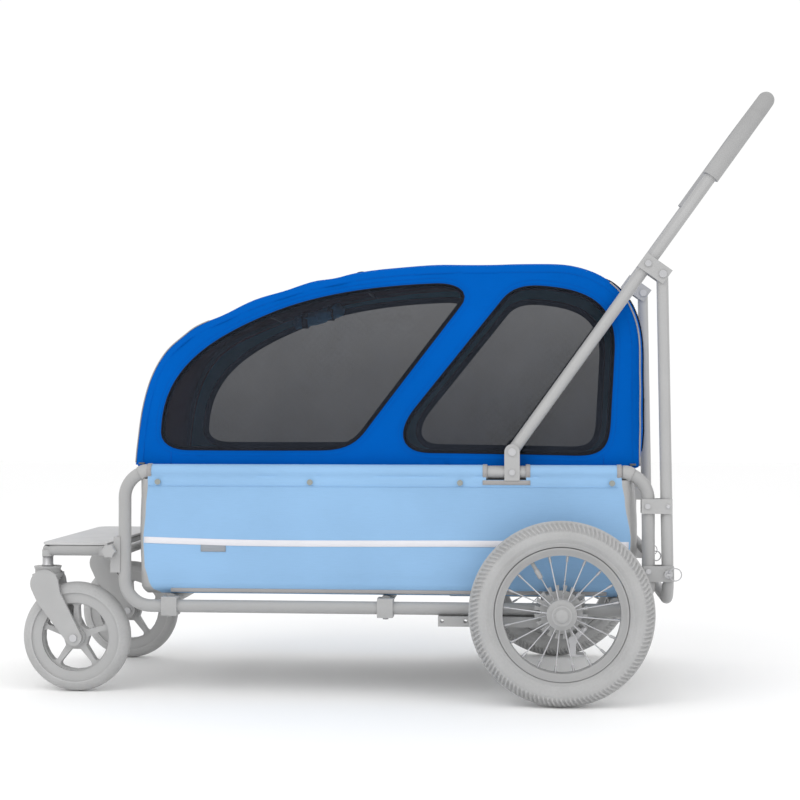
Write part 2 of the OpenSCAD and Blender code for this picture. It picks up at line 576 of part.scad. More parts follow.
// The front and rear window openings, drawn in x and z
front_window = [[-402, 440], [-394, 510], [-365, 570], [-325, 604], [-246, 647], [-158, 680], [-70, 699],
  [77, 711], [112, 704], [124, 685], [17, 534], [-53, 449], [-80, 430], [-114, 425], [-360, 425], [-388,
    429]];
rear_window = [[18, 460], [22, 440], [36, 425], [69, 422], [326, 417], [360, 422], [374, 443], [377, 469],
  [384, 605], [379, 648], [365, 674], [343, 691], [292, 703], [241, 706], [215, 704], [198, 690], [189,
    678], [43, 498]];
module window_outlines(inset) for (w = [front_window, rear_window]) offset(delta = -inset) polygon(w);
module canopy_shell() color(royal_cloth) difference() {
  canopy_body(0);
  canopy_body(cloth_t);
  rotate([90, 0, 0]) translate([0, 0, -300]) linear_extrude(600) window_outlines(0);
}
module window_meshes() color("dimgrey") intersection() {
  difference() {
    canopy_body(0.8);
    canopy_body(2);
  }
  rotate([90, 0, 0]) translate([0, 0, -300]) linear_extrude(600) window_outlines(0.4);
}
// Two flat side hoops follow the canopy's outline inside the cloth, three cross rods keep them apart
hoop_w = 6;
hoop_t = 6;
hoop_y = 172;
hoop_gap = 8.5;          // from the outside of the cloth to the hoop
hoop_end_z = canopy_base_z - 3;
cross_rod_xs = [-245, -61, 275];
// The line p moved inwards by d, square to itself
function moved_in(p, d) = [for (i = [0:len(p) - 1])
  let (a = p[max(i - 1, 0)], b = p[min(i + 1, len(p) - 1)], t = (b - a) / norm(b - a))
  p[i] + d * [t[1], -t[0]]];
function hoop_line(d) = concat(
  [[canopy_nose_x + d, hoop_end_z]],
  [for (p = moved_in(canopy_roof_line(), d)) if (p[1] > hoop_end_z + 5) p],
  [[canopy_tail_x - d, hoop_end_z]]);
function backwards(line) = [for (i = [len(line) - 1:-1:0]) line[i]];
module canopy_bows() color("silver") {
  both_sides() {
    sheet_y(hoop_y - hoop_w / 2, hoop_y + hoop_w / 2)
      polygon(concat(hoop_line(hoop_gap), backwards(hoop_line(hoop_gap + hoop_t))));
    for (x = [canopy_nose_x, canopy_tail_x]) {
      foot_x = x + sign(-x) * (hoop_gap + hoop_t / 2);
      block(foot_x - 5, foot_x + 5, hoop_y - 5, frame_y - frame_r - 2.6, hoop_end_z - 0.6, hoop_end_z + 2.4);
    }
  }
  for (x = cross_rod_xs)
    rod_y(x, lookup(x, hoop_line(hoop_gap + hoop_t / 2)), -hoop_y, hoop_y, 2.5);
}

side_frame("left");  // side_frame_left
side_frame("right");  // side_frame_right
cross_tubes();
floor_board();
floor_mat();
axle_bracket("left");  // axle_bracket_left
axle_bracket("right");  // axle_bracket_right
axle_spindles();
rail_clamps();
strut_guides();
strut_clevises();
frame_bolts();
deck_hinge_brackets();
deck_hinge_bolts();
handle_brackets();
handle_pivot_bolts();
keeper_loop();
tub_side("left");  // tub_side_left
tub_side("right");  // tub_side_right
tub_end_front();
tub_end_rear();
tub_floor();
snap_buttons();
canopy_shell();
canopy_bows();
window_meshes();
deck_frame();
deck_plate();
caster_fork("left");  // caster_fork_left
caster_fork("right");  // caster_fork_right
caster_axle("left");  // caster_axle_left
caster_axle("right");  // caster_axle_right
caster_tyre("left");  // caster_tyre_left
caster_tyre("right");  // caster_tyre_right
caster_rim("left");  // caster_rim_left
caster_rim("right");  // caster_rim_right
rear_tyre("left");  // rear_tyre_left
rear_tyre("right");  // rear_tyre_right
rear_rim("left");  // rear_rim_left
rear_rim("right");  // rear_rim_right
spokes("left");  // spokes_left
spokes("right");  // spokes_right
rear_hub("left");  // rear_hub_left
rear_hub("right");  // rear_hub_right
hub_cap("left");  // hub_cap_left
hub_cap("right");  // hub_cap_right
handle_tube();
handle_grip();
link_plates();
strut_bolts();
strut_tube();
lock_pin("left");  // lock_pin_left
lock_pin("right");  // lock_pin_right
pin_ring("left");  // pin_ring_left
pin_ring("right");  // pin_ring_right
deck_knob("left");  // deck_knob_left
deck_knob("right");  // deck_knob_right
brake_bar();
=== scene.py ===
"""Looks of the child trailer: cloth, nets, tyres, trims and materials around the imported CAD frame."""
import json
import math

import bmesh
import bpy
from mathutils import Euler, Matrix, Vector, noise
from mathutils.geometry import delaunay_2d_cdt


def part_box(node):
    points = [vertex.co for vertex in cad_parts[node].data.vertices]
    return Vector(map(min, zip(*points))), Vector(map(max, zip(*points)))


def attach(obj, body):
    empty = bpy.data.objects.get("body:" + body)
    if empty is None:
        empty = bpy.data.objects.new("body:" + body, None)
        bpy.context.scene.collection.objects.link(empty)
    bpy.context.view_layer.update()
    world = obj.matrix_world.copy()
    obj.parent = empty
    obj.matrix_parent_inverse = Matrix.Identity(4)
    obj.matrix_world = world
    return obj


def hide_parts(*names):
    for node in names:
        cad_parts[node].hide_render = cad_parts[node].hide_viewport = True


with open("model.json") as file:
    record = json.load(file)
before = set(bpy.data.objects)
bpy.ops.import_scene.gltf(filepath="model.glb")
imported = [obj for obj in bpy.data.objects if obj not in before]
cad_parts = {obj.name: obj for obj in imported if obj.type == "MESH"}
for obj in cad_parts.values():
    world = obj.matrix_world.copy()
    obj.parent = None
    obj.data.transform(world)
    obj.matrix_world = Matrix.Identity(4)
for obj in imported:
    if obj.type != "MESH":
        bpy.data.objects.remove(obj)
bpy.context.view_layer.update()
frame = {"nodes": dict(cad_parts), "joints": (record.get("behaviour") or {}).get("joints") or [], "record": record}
scene = bpy.context.scene
MM = 0.001
SIDES = {"left": -1, "right": 1}


# ---------------------------------------------------------------- mesh helpers
def piece(name, verts, faces, material, body="chassis", slot=None, uvs=None, smooth=True):
    """A mesh object that rides on a body; material is a material, or the name of a slot whose material it takes.
    """
    if isinstance(material, str):
        slot, material = material, MATERIALS[material]
    mesh = bpy.data.meshes.new(name)
    mesh.from_pydata([tuple(v) for v in verts], [], faces)
    mesh.validate()
    mesh.polygons.foreach_set("use_smooth", [smooth] * len(mesh.polygons))
    if uvs:
        layer = mesh.uv_layers.new(name="cloth")
        for loop in mesh.loops:
            layer.data[loop.index].uv = uvs[loop.vertex_index]
    obj = bpy.data.objects.new(name, mesh)
    scene.collection.objects.link(obj)
    mesh.materials.append(material)
    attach(obj, body)
    return obj


def side_uvs(verts):
    """Cloth coordinates of points as seen from the side, in metres."""
    return [(v[0], v[2]) for v in verts]


def mirrored(side, verts):
    """Left-side points, or their mirror image for the right side."""
    return [(x, y if side == "left" else -y, z) for x, y, z in verts]


def turned(side, faces):
    """Faces that keep pointing outwards when their points are mirrored."""
    return faces if side == "left" else [tuple(reversed(f)) for f in faces]


def grid_faces(rows, columns, close_rows=False, close_columns=False, keep=None):
    """Quads of a grid of points, joined round where asked; keep(i, j) says which to keep."""
    faces = []
    for i in range(rows if close_rows else rows - 1):
        for j in range(columns if close_columns else columns - 1):
            if keep is None or keep(i, j):
                a, b = i * columns + j, i * columns + (j + 1) % columns
                c, d = ((i + 1) % rows) * columns + (j + 1) % columns, ((i + 1) % rows) * columns + j
                faces.append((a, b, c, d))
    return faces


def thicken(obj, thickness, offset=-1.0):
    """Give a surface its thickness: inwards at offset -1, outwards at 1, both ways at 0."""
    modifier = obj.modifiers.new("thickness", "SOLIDIFY")
    modifier.thickness = thickness
    modifier.offset = offset
    return obj


def settle(obj, angle=50):
    """Apply the modifiers and keep the edges sharper than angle crisp; returns the area of one layer."""
    area = sum(polygon.area for polygon in obj.data.polygons)
    mesh = bpy.data.meshes.new_from_object(obj.evaluated_get(bpy.context.evaluated_depsgraph_get()))
    obj.modifiers.clear()
    obj.data = mesh
    mesh.set_sharp_from_angle(angle=math.radians(angle))
    return area


def bezier(p, steps):
    """Points of a cubic curve, without its last point."""
    out = []
    for i in range(steps):
        t = i / steps
        w = ((1 - t) ** 3, 3 * (1 - t) ** 2 * t, 3 * (1 - t) * t * t, t ** 3)
        out.append(tuple(sum(w[k] * p[k][a] for k in range(4)) for a in range(2)))
    return out


def spaced(points, gap, closed=False):
    """The same line with its points a steady gap apart."""
    line = [Vector(p) for p in points] + ([Vector(points[0])] if closed else [])
    lengths = [0.0]
    for a, b in zip(line, line[1:]):
        lengths.append(lengths[-1] + (b - a).length)
    count = max(2, round(lengths[-1] / gap))
    out, k = [], 0
    for i in range(count if closed else count + 1):
        want = lengths[-1] * i / count
        while k < len(line) - 2 and lengths[k + 1] < want:
            k += 1
        t = (want - lengths[k]) / max(1e-9, lengths[k + 1] - lengths[k])
        out.append(line[k].lerp(line[k + 1], t))
    return out


def sweep(path, section, normal_of, closed=False):
    """A strip whose section, in (sideways, outwards), follows a 3-D path; normal_of(i) points outwards."""
    count = len(path)
    verts = []
    for i, p in enumerate(path):
        before = path[i - 1] if closed or i > 0 else p
        after = path[(i + 1) % count] if closed or i < count - 1 else p
        along = (Vector(after) - Vector(before)).normalized()
        out = Vector(normal_of(i))
        out = (out - along * out.dot(along)).normalized()
        side = along.cross(out)
        verts += [Vector(p) + side * a + out * b for a, b in section]
    n = len(section)
    faces = grid_faces(count, n, close_rows=closed, close_columns=True)
    if not closed:
        faces += [tuple(reversed(range(n))), tuple(range((count - 1) * n, count * n))]
    return verts, faces


def round_section(radius, sides=8):
    """The section of a cord."""
    return [(radius * math.cos(2 * math.pi * k / sides), radius * math.sin(2 * math.pi * k / sides))
            for k in range(sides)]


def tape_section(width, height):
    """A flat strip with rounded long edges."""
    w, h = width / 2, height / 2
    return [(-w, 0), (-w * 0.9, -h), (w * 0.9, -h), (w, 0), (w * 0.9, h), (-w * 0.9, h)]


def fill(outline, holes, gap):
    """Triangles over a flat outline, leaving out its holes, with a net of inner points a gap apart."""
    loops = [outline] + holes
    points, edges = [], []
    for loop in loops:
        start = len(points)
        points += [Vector(p) for p in loop]
        edges += [(start + i, start + (i + 1) % len(loop)) for i in range(len(loop))]
    border = list(points)
    lo = [min(p[a] for p in outline) for a in (0, 1)]
    hi = [max(p[a] for p in outline) for a in (0, 1)]
    for i in range(1, int((hi[0] - lo[0]) / gap) + 1):
        for j in range(1, int((hi[1] - lo[1]) / gap) + 1):
            p = Vector((lo[0] + gap * (i + 0.5 * (j % 2)), lo[1] + gap * j))
            if inside(p, outline) and not any(inside(p, h) for h in holes):
                if min((p - q).length_squared for q in border) > (0.45 * gap) ** 2:
                    points.append(p)
    verts, _, faces, *_ = delaunay_2d_cdt(points, edges, [], 0, 1e-7)
    kept = []
    for f in faces:
        c = (verts[f[0]] + verts[f[1]] + verts[f[2]]) / 3
        if inside(c, outline) and not any(inside(c, h) for h in holes):
            kept.append(tuple(f))
    return verts, kept


def inside(p, loop):
    """Whether a flat point lies within a closed line."""
    hit = False
    for (x0, y0), (x1, y1) in zip(loop, loop[1:] + loop[:1]):
        if (y0 > p[1]) != (y1 > p[1]) and p[0] < (x1 - x0) * (p[1] - y0) / (y1 - y0) + x0:
            hit = not hit
    return hit


# ------------------------------------------------------------------ materials
def add(tree, kind, inputs=None, **settings):
    """A node with its settings, and with its inputs as values or as other nodes' sockets."""
    node = tree.nodes.new(kind)
    for name, value in settings.items():
        setattr(node, name, value)
    for key, value in (inputs or {}).items():
        if isinstance(value, bpy.types.NodeSocket):
            tree.links.new(value, node.inputs[key])
        else:
            node.inputs[key].default_value = value
    return node


def maths(tree, operation, a, b=0.0):
    return add(tree, "ShaderNodeMath", {0: a, 1: b}, operation=operation).outputs[0]


def noise_value(tree, vector, scale, detail=3.0):
    inputs = {"Vector": vector, "Scale": scale, "Detail": detail}
    return add(tree, "ShaderNodeTexNoise", inputs).outputs["Fac"]


def map_range(tree, value, start, end, low, high):
    """Maps a value that lies between start and end onto low to high."""
    return add(tree, "ShaderNodeMapRange", {"Value": value, "From Min": start, "From Max": end,
                                            "To Min": low, "To Max": high}).outputs["Result"]


def spread(tree, value, low, high):
    """Maps a noise value, which lies about 0.3 to 0.7, onto low to high."""
    return map_range(tree, value, 0.3, 0.7, low, high)


def bump(tree, height, distance, strength=0.5, **below):
    """The normal of a bumpy surface, on top of Normal where that is given."""
    inputs = {"Height": height, "Distance": distance, "Strength": strength, **below}
    return add(tree, "ShaderNodeBump", inputs).outputs["Normal"]


def feed(tree, shader, **sockets):
    """Links sockets to the shader's inputs; an underscore stands for a space in an input's name."""
    for key, value in sockets.items():
        tree.links.new(value, shader.inputs[key.replace("_", " ")])


def tinted(tree, colour, factor):
    """The colour, lighter or darker by a factor about 1."""
    return add(tree, "ShaderNodeVectorMath", {0: colour, 1: factor}, operation="MULTIPLY").outputs[0]


def start_material(name, **values):
    material = bpy.data.materials.new(name)
    material.use_nodes = True
    shader = material.node_tree.nodes["Principled BSDF"]
    shader.inputs["Specular IOR Level"].default_value = 0.3
    for key, value in values.items():
        shader.inputs[key.replace("_", " ")].default_value = value
    return material, material.node_tree, shader


def linear(r, g, b):
    """A screen colour, 0 to 255, as the linear colour that shaders use."""
    def one(c):
        c /= 255
        return c / 12.92 if c <= 0.04045 else ((c + 0.055) / 1.055) ** 2.4
    return (one(r), one(g), one(b))


def solid_material(name, colour, roughness, grain, grain_depth, mottle=0.06, metallic=0.0, wear=0.12):
    """Paint, plastic, rubber or metal: mottled colour, lighter worn edges, fine surface grain."""
    material, tree, shader = start_material(name, Metallic=metallic)
    where = add(tree, "ShaderNodeTexCoord").outputs["Object"]
    cloudy = spread(tree, noise_value(tree, where, 14.0, 5.0), 1 - mottle, 1 + mottle)
    speck = spread(tree, noise_value(tree, where, grain, 2.0), 1 - mottle / 2, 1 + mottle / 2)
    pointed = add(tree, "ShaderNodeNewGeometry").outputs["Pointiness"]
    edge = map_range(tree, pointed, 0.5, 0.58, 1.0, 1 + wear)
    shade = maths(tree, "MULTIPLY", maths(tree, "MULTIPLY", cloudy, speck), edge)
    feed(tree, shader, Base_Color=tinted(tree, colour, shade),
         Roughness=spread(tree, noise_value(tree, where, 35.0), roughness - 0.07, roughness + 0.07),
         Normal=bump(tree, noise_value(tree, where, grain), grain_depth, 0.6))
    return material


def weave_height(tree, uv, thread):
    """A plain weave: over one thread, under the next."""
    parts = add(tree, "ShaderNodeSeparateXYZ", {0: uv})
    turn = 2 * math.pi / thread
    u = maths(tree, "SINE", maths(tree, "MULTIPLY", parts.outputs[0], turn))
    v = maths(tree, "SINE", maths(tree, "MULTIPLY", parts.outputs[1], turn))
    return maths(tree, "MULTIPLY", u, v)


def cloth_material(name, colour, thread=0.0014, contrast=0.05, sheen=0.06, gloss=0.12, roughness=0.72):
    """Woven cloth: threads, slubs along them, a cloudy tint and shallow creases."""
    material, tree, shader = start_material(name, Sheen_Weight=sheen, Sheen_Roughness=0.5,
                                            Specular_IOR_Level=gloss)
    uv = add(tree, "ShaderNodeUVMap", uv_map="cloth").outputs["UV"]
    where = add(tree, "ShaderNodeTexCoord").outputs["Object"]
    weave = weave_height(tree, uv, thread)
    slub = add(tree, "ShaderNodeMapping", {"Vector": uv, "Scale": (40.0, 900.0, 1.0)}).outputs["Vector"]
    streak = spread(tree, noise_value(tree, slub, 1.0), 1 - contrast / 2, 1 + contrast / 2)
    cloudy = spread(tree, noise_value(tree, where, 5.0, 4.0), 1 - contrast, 1 + contrast)
    thready = maths(tree, "ADD", maths(tree, "MULTIPLY", weave, contrast), 1.0)
    shade = maths(tree, "MULTIPLY", maths(tree, "MULTIPLY", streak, cloudy), thready)
    creases = bump(tree, noise_value(tree, where, 16.0, 3.0), CREASE_DEPTH)
    feed(tree, shader, Base_Color=tinted(tree, colour, shade),
         Roughness=spread(tree, noise_value(tree, where, 60.0), roughness - 0.06, roughness + 0.06),
         Normal=bump(tree, weave, thread * 0.12, Normal=creases))
    return material


def net_material(name, cover):
    """A fine net: dark threads that let part of the light through, cover from its foot to its top; the greater
    cover at its foot is painted shade of the trailer's shaded inside behind it.
    """
    material, tree, shader = start_material(name, Roughness=0.8)
    uv = add(tree, "ShaderNodeUVMap", uv_map="cloth").outputs["UV"]
    where = add(tree, "ShaderNodeTexCoord").outputs["Object"]
    weave = weave_height(tree, uv, NET_CELL)
    patchy = spread(tree, noise_value(tree, where, 9.0), -0.015, 0.015)
    wires = add(tree, "ShaderNodeMapping", {"Vector": uv, "Scale": (60.0, 700.0, 1.0)}).outputs["Vector"]
    streaks = spread(tree, noise_value(tree, wires, 1.0, 2.0), -0.02, 0.02)
    height = add(tree, "ShaderNodeSeparateXYZ", {0: where}).outputs[2]
    # Painted shade: the net is made denser towards its foot to stand for the shaded inside seen through it
    painted_foot_shade = map_range(tree, height, 0.43, 0.70, *cover)
    alpha = maths(tree, "ADD", maths(tree, "ADD", painted_foot_shade, patchy), streaks)
    alpha = maths(tree, "ADD", alpha, maths(tree, "MULTIPLY", weave, NET_SWING))
    cloudy = spread(tree, noise_value(tree, where, 30.0), 0.85, 1.15)
    feed(tree, shader, Alpha=alpha, Base_Color=tinted(tree, NET_COLOUR, cloudy),
         Normal=bump(tree, weave, 0.0002))
    return material


CREASE_DEPTH = 0.0006             # metres
NET_COLOUR, NET_CELL, NET_SWING = (0.010, 0.0135, 0.022), 0.0018, 0.16
CANOPY_LOOK = {"contrast": 0.06, "sheen": 0.0, "gloss": 0.02}
MATERIALS = {
    "frame_paint": solid_material("frame paint", linear(163, 163, 163), 0.42, 500.0, 0.00004, 0.03),
    "dark_bracket": solid_material("bracket paint", linear(160, 160, 160), 0.5, 420.0, 0.00005, 0.04),
    "bright_steel": solid_material("bright steel", linear(180, 180, 182), 0.32, 700.0, 0.00002, 0.05,
                                   metallic=0.6),
    "rim_metal": solid_material("rim paint", linear(152, 152, 152), 0.4, 500.0, 0.00003, 0.03),
    "wheel_rubber": solid_material("tyre rubber", linear(171, 171, 171), 0.75, 260.0, 0.00018, 0.06),
    "moulded_plastic": solid_material("moulded plastic", linear(163, 163, 163), 0.55, 900.0, 0.00008, 0.04),
    "foam_grip": solid_material("grip foam", linear(154, 154, 154), 0.85, 650.0, 0.0003, 0.05),
    "floor_ply": solid_material("floor ply", (0.45, 0.3, 0.17), 0.6, 120.0, 0.0001, 0.15),
    "bow_rod": solid_material("bow rod", linear(90, 92, 96), 0.4, 500.0, 0.00003, 0.04),
    "tub_cloth": cloth_material("tub cloth", linear(143, 182, 219)),
    "lining_cloth": cloth_material("lining cloth", linear(172, 172, 172)),
    "canopy_cloth": cloth_material("canopy cloth", linear(0, 88, 177), **CANOPY_LOOK),
    "window_mesh": net_material("window net", (0.765, 0.665)),
    "mat_cloth": cloth_material("mat cloth", linear(150, 150, 152), thread=0.002, contrast=0.1),
}
# Both nets are denser at the foot as painted shade, the rear one more so
REAR_NET = net_material("rear window net", (0.80, 0.665))
# Inside face of the roof: a dark reddish brown, darker than the canopy's blue
ROOF_INSIDE = cloth_material("roof inside", linear(112, 62, 56), **CANOPY_LOOK)
# Inside of the side panels: the canopy's cloth made lighter and more teal, as painted light from the windows
SIDE_INSIDE_LIT = cloth_material("side inside painted light", linear(84, 176, 208), **CANOPY_LOOK)
TAPE = cloth_material("binding tape", linear(22, 24, 32), thread=0.001, contrast=0.12)
GREY_TAPE = cloth_material("grey tape", linear(160, 158, 158), thread=0.001, contrast=0.08)
REFLECTIVE = cloth_material("reflective tape", linear(222, 221, 226), thread=0.0009, roughness=0.45)
LABEL = cloth_material("label cloth", linear(148, 153, 160), thread=0.0008, contrast=0.08)
# The rolled shade's cloth: far lighter than the canopy's blue, as painted light on the roll inside the canopy
LIT_SHADE_CLOTH = cloth_material("shade cloth", linear(105, 190, 250), contrast=0.06)
THREAD = cloth_material("sewing thread", linear(2, 82, 172), thread=0.0006, contrast=0.1, gloss=0.05)
ZIP = solid_material("zip teeth", linear(46, 48, 54), 0.4, 900.0, 0.00003, 0.08)

for entry in frame["record"]["subparts"]:
    node = frame["nodes"][entry["node"]]
    node.data.materials.clear()
    node.data.materials.append(MATERIALS[entry["material_slot"]])
DECK_BOARD = solid_material("deck board", linear(182, 182, 182), 0.6, 700.0, 0.0001, 0.04)
SNAP_PLASTIC = solid_material("snap plastic", linear(138, 142, 138), 0.5, 800.0, 0.00003, 0.05)
frame["nodes"]["deck_plate"].data.materials[0] = DECK_BOARD
frame["nodes"]["snap_buttons"].data.materials[0] = SNAP_PLASTIC
for name in ("side_frame_left", "side_frame_right", "handle_tube", "strut_tube"):
    node = frame["nodes"][name]
    node.data.polygons.foreach_set("use_smooth", [True] * len(node.data.polygons))

# --------------------------------------------------------------------- canopy
low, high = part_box("canopy_shell")
NOSE, TAIL, BASE, ROOF = low.x, high.x, low.z - 5 * MM, high.z
HALF = high.y                     # half the canopy's width
SHOULDER = 14 * MM                # radius between roof and side
PUFF = 2.5 * MM                   # how far the stretched cloth stands off the plain outline
FLAT = HALF - SHOULDER


def canopy_outline():
    """Side outline from the nose's base, over the roof, to the tail's base."""
    shin = (NOSE + 0.119, BASE + 0.2485)
    crown = (NOSE + 0.599, ROOF)
    brow = (TAIL - 0.152, ROOF)
    drop = (TAIL, ROOF - 0.146)
    line = bezier([(NOSE, BASE), (NOSE + 0.006, BASE + 0.128), (NOSE + 0.029, BASE + 0.208), shin], 24)
    line += bezier([shin, (NOSE + 0.219, BASE + 0.2935), (NOSE + 0.329, ROOF + 0.002), crown], 40)
    line += [crown]
    line += bezier([brow, (TAIL - 0.057, ROOF), (TAIL, ROOF - 0.056), drop], 24)
    line += [drop, (TAIL, BASE)]
    return line


PROFILE = spaced(canopy_outline(), 9 * MM)
STEP = sum((b - a).length for a, b in zip(PROFILE, PROFILE[1:])) / (len(PROFILE) - 1)
LENGTH = STEP * (len(PROFILE) - 1)


def profile_at(s):
    """Place on the outline a distance s along it, and the inward normal there."""
    k = min(len(PROFILE) - 2, max(0, int(s / STEP)))
    t = min(1.0, max(0.0, s / STEP - k))
    place = PROFILE[k].lerp(PROFILE[k + 1], t)
    before, after = PROFILE[max(0, k - 1)], PROFILE[min(len(PROFILE) - 1, k + 2)]
    along = (after - before).normalized()
    return place, Vector((along.y, -along.x))


SUPPORTS = (-0.400, -0.342, -0.246, -0.139, -0.061)      # where the roof is held up along x
SAG = 2.4                         # millimetres that it dips between them


def slack_at(s, q):
    """Small waves of the cloth, which dips where it hangs free between its supports."""
    waves = 1.4 * noise.noise(Vector((s * 8.0, q * 3.0, 2.0)))
    waves += 0.8 * noise.noise(Vector((s * 21.0, q * 9.0, 7.0)))
    x = profile_at(s)[0].x
    for a, b in zip(SUPPORTS, SUPPORTS[1:]):
        if a < x < b:
            waves -= SAG * math.sin(math.pi * (x - a) / (b - a)) ** 2
    return waves * MM


def on_roof(s, q, lift=0.0):
    """The canopy's wrapped sheet: s along the outline, q across it from the middle."""
    place, inward = profile_at(s)
    lift += PUFF + slack_at(s, q)
    if abs(q) <= FLAT:
        y, inset, tilt = q, 0.0, 0.0
        rear = min(1.0, max(0.0, (s - LENGTH + 0.40) / 0.12)) * min(1.0, max(0.0, (LENGTH - s) / 0.08) + 0.25)
        inset -= (3 + 14 * rear) * MM * (1 - (q / FLAT) ** 2)
    else:
        tilt = (abs(q) - FLAT) / SHOULDER
        y, inset = math.copysign(FLAT + SHOULDER * math.sin(tilt), q), SHOULDER * (1 - math.cos(tilt))
    inset -= lift * math.cos(tilt)
    y += math.copysign((lift - PUFF) * math.sin(tilt), q)
    return Vector((place.x + inward.x * inset, y, place.y + inward.y * inset))


def on_side(x, z, lift=0.0):
    """The canopy's left side panel, slightly puffed between its edges."""
    across = math.sin(math.pi * min(1.0, max(0.0, (x - NOSE) / (TAIL - NOSE))))
    up = math.sin(math.pi * min(1.0, max(0.0, (z - BASE) / (ROOF - SHOULDER - BASE))))
    return Vector((x, -(HALF + lift + PUFF * across * up), z))


def window(curves):
    """A closed window outline from its corner and edge curves, in millimetres."""
    points = []
    for c in curves:
        points += bezier([(x * MM, z * MM) for x, z in c], 14)
    return [tuple(p) for p in spaced(points, 9 * MM, closed=True)]


FRONT_WINDOW = window([
    [(-403, 455), (-401, 560), (-330, 615), (-200, 666)],
    [(-200, 666), (-110, 700), (0, 710), (82, 712)],
    [(82, 712), (115, 712), (138, 698), (122, 676)],
    [(122, 676), (66, 603), (10, 531), (-45, 458)],
    [(-45, 458), (-63, 434), (-85, 425), (-125, 425)],
    [(-125, 425), (-200, 424.5), (-280, 424.5), (-355, 425)],
    [(-355, 425), (-390, 425), (-403, 440), (-403, 455)]])
REAR_WINDOW = window([
    [(384, 600), (386, 665), (352, 695), (285, 704)],
    [(285, 704), (255, 708), (215, 714), (192, 682)],
    [(192, 682), (142, 620), (92, 558), (42, 496)],
    [(42, 496), (15, 462), (10, 422), (68, 421)],
    [(68, 421), (150, 420), (235, 419), (318, 417)],
    [(318, 417), (365, 416), (374, 432), (377, 470)],
    [(377, 470), (379, 513), (382, 556), (384, 600)]])


def rounded_box(s0, s1, q, radius):
    """A rounded rectangle on the wrapped sheet, in (s, q)."""
    corners = [(s1 - radius, q - radius, 0), (s0 + radius, q - radius, 90),
               (s0 + radius, radius - q, 180), (s1 - radius, radius - q, 270)]
    points = []
    for cs, cq, start in corners:
        for k in range(9):
            a = math.radians(start + 90 * k / 8)
            points.append((cs + radius * math.cos(a), cq + radius * math.sin(a)))
    return [tuple(p) for p in spaced(points, 9 * MM, closed=True)]


NOSE_DOOR = rounded_box(48 * MM, 330 * MM, 118 * MM, 40 * MM)
TAIL_DOOR = rounded_box(LENGTH - 116 * MM, LENGTH - 44 * MM, 112 * MM, 24 * MM)


def canopy_sheet():
    """Roof, nose, tail and both sides as one continuous curved sheet, with its window openings."""
    edge = FLAT + SHOULDER * math.pi / 2
    stations = [STEP * i for i in range(len(PROFILE))]
    across = [tuple(p) for p in spaced([(-edge, 0), (edge, 0)], 9 * MM)]
    outline = [(s, -edge) for s in stations]
    outline += [(LENGTH, q) for q, _ in across[1:-1]]
    outline += [(s, edge) for s in reversed(stations)]
    outline += [(0.0, q) for q, _ in reversed(across[1:-1])]
    flat, faces = fill(outline, [TAIL_DOOR], 13 * MM)
    verts = [on_roof(s, q) for s, q in flat]
    uvs = [(s, q) for s, q in flat]
    faces = [tuple(reversed(f)) for f in faces]
    wrapped = len(faces)
    rim = [on_roof(s, -edge) for s in stations]
    border = [(p.x, p.z) for p in rim]
    base = spaced([border[-1], border[0]], 9 * MM)[1:-1]
    border += [tuple(p) for p in base]
    side, side_faces = fill(border, [FRONT_WINDOW, REAR_WINDOW], 13 * MM)
    for sign in (-1, 1):
        start = len(verts)
        for x, z in side:
            p = on_side(x, z)
            verts.append(Vector((p.x, -sign * p.y, p.z)))
            uvs.append((x, z))
        for f in side_faces:
            f = tuple(start + k for k in f)
            faces.append(f if sign < 0 else tuple(reversed(f)))
    obj = piece("canopy_sheet", verts, faces, MATERIALS["canopy_cloth"], slot="canopy_cloth", uvs=uvs)
    # The sheet's inside faces take the next material: the roof's inside colour, and for the sides a lighter teal
    # copy of the canopy blue as painted light
    for material in (ROOF_INSIDE, MATERIALS["canopy_cloth"], SIDE_INSIDE_LIT):
        obj.data.materials.append(material)
    for polygon in obj.data.polygons:
        polygon.material_index = 0 if polygon.index < wrapped else 2
    sew = bmesh.new()
    sew.from_mesh(obj.data)
    bmesh.ops.remove_doubles(sew, verts=sew.verts, dist=0.4 * MM)
    bmesh.ops.recalc_face_normals(sew, faces=sew.faces)
    top = max(sew.faces, key=lambda f: f.calc_center_median().z)
    if top.normal.z < 0:
        bmesh.ops.reverse_faces(sew, faces=sew.faces)
    sew.to_mesh(obj.data)
    sew.free()
    thicken(obj, 1.2 * MM).modifiers["thickness"].material_offset = 1
    return obj


canopy = canopy_sheet()
canopy_area = settle(canopy)
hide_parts("canopy_shell")


def strip_on_roof(name, route, section, lift, material, closed=True):
    """Tape or piping along a route on the wrapped sheet."""
    path = [on_roof(s, q, lift) for s, q in route]
    base = [on_roof(s, q, lift - MM) for s, q in route]
    verts, faces = sweep(path, section, lambda i: path[i] - base[i], closed)
    uvs = [(0.0, 0.0)] * len(verts)
    return piece(name, verts, faces, material, slot="canopy_cloth", uvs=uvs)


def strip_on_side(name, side, route, section, lift, material, closed=True):
    """Tape or piping along a route on one side panel."""
    path = [on_side(x, z, lift) for x, z in route]
    verts, faces = sweep(path, section, lambda i: Vector((0, -1, 0)), closed)
    uvs = side_uvs(verts)
    return piece(name, mirrored(side, verts), turned(side, faces), material, slot="canopy_cloth", uvs=uvs)


def net_panel(name, outline, place, material, turn=False):
    """A net that closes a window, a little larger than its opening."""
    middle = Vector([sum(p[a] for p in outline) / len(outline) for a in (0, 1)])
    wide = [tuple(Vector(p) + (Vector(p) - middle).normalized() * 4 * MM) for p in outline]
    flat, faces = fill(wide, [], 16 * MM)
    verts = [place(a, b) for a, b in flat]
    faces = [tuple(reversed(f)) for f in faces] if turn else faces
    return piece(name, verts, faces, material, slot="window_mesh", uvs=[tuple(p) for p in flat])


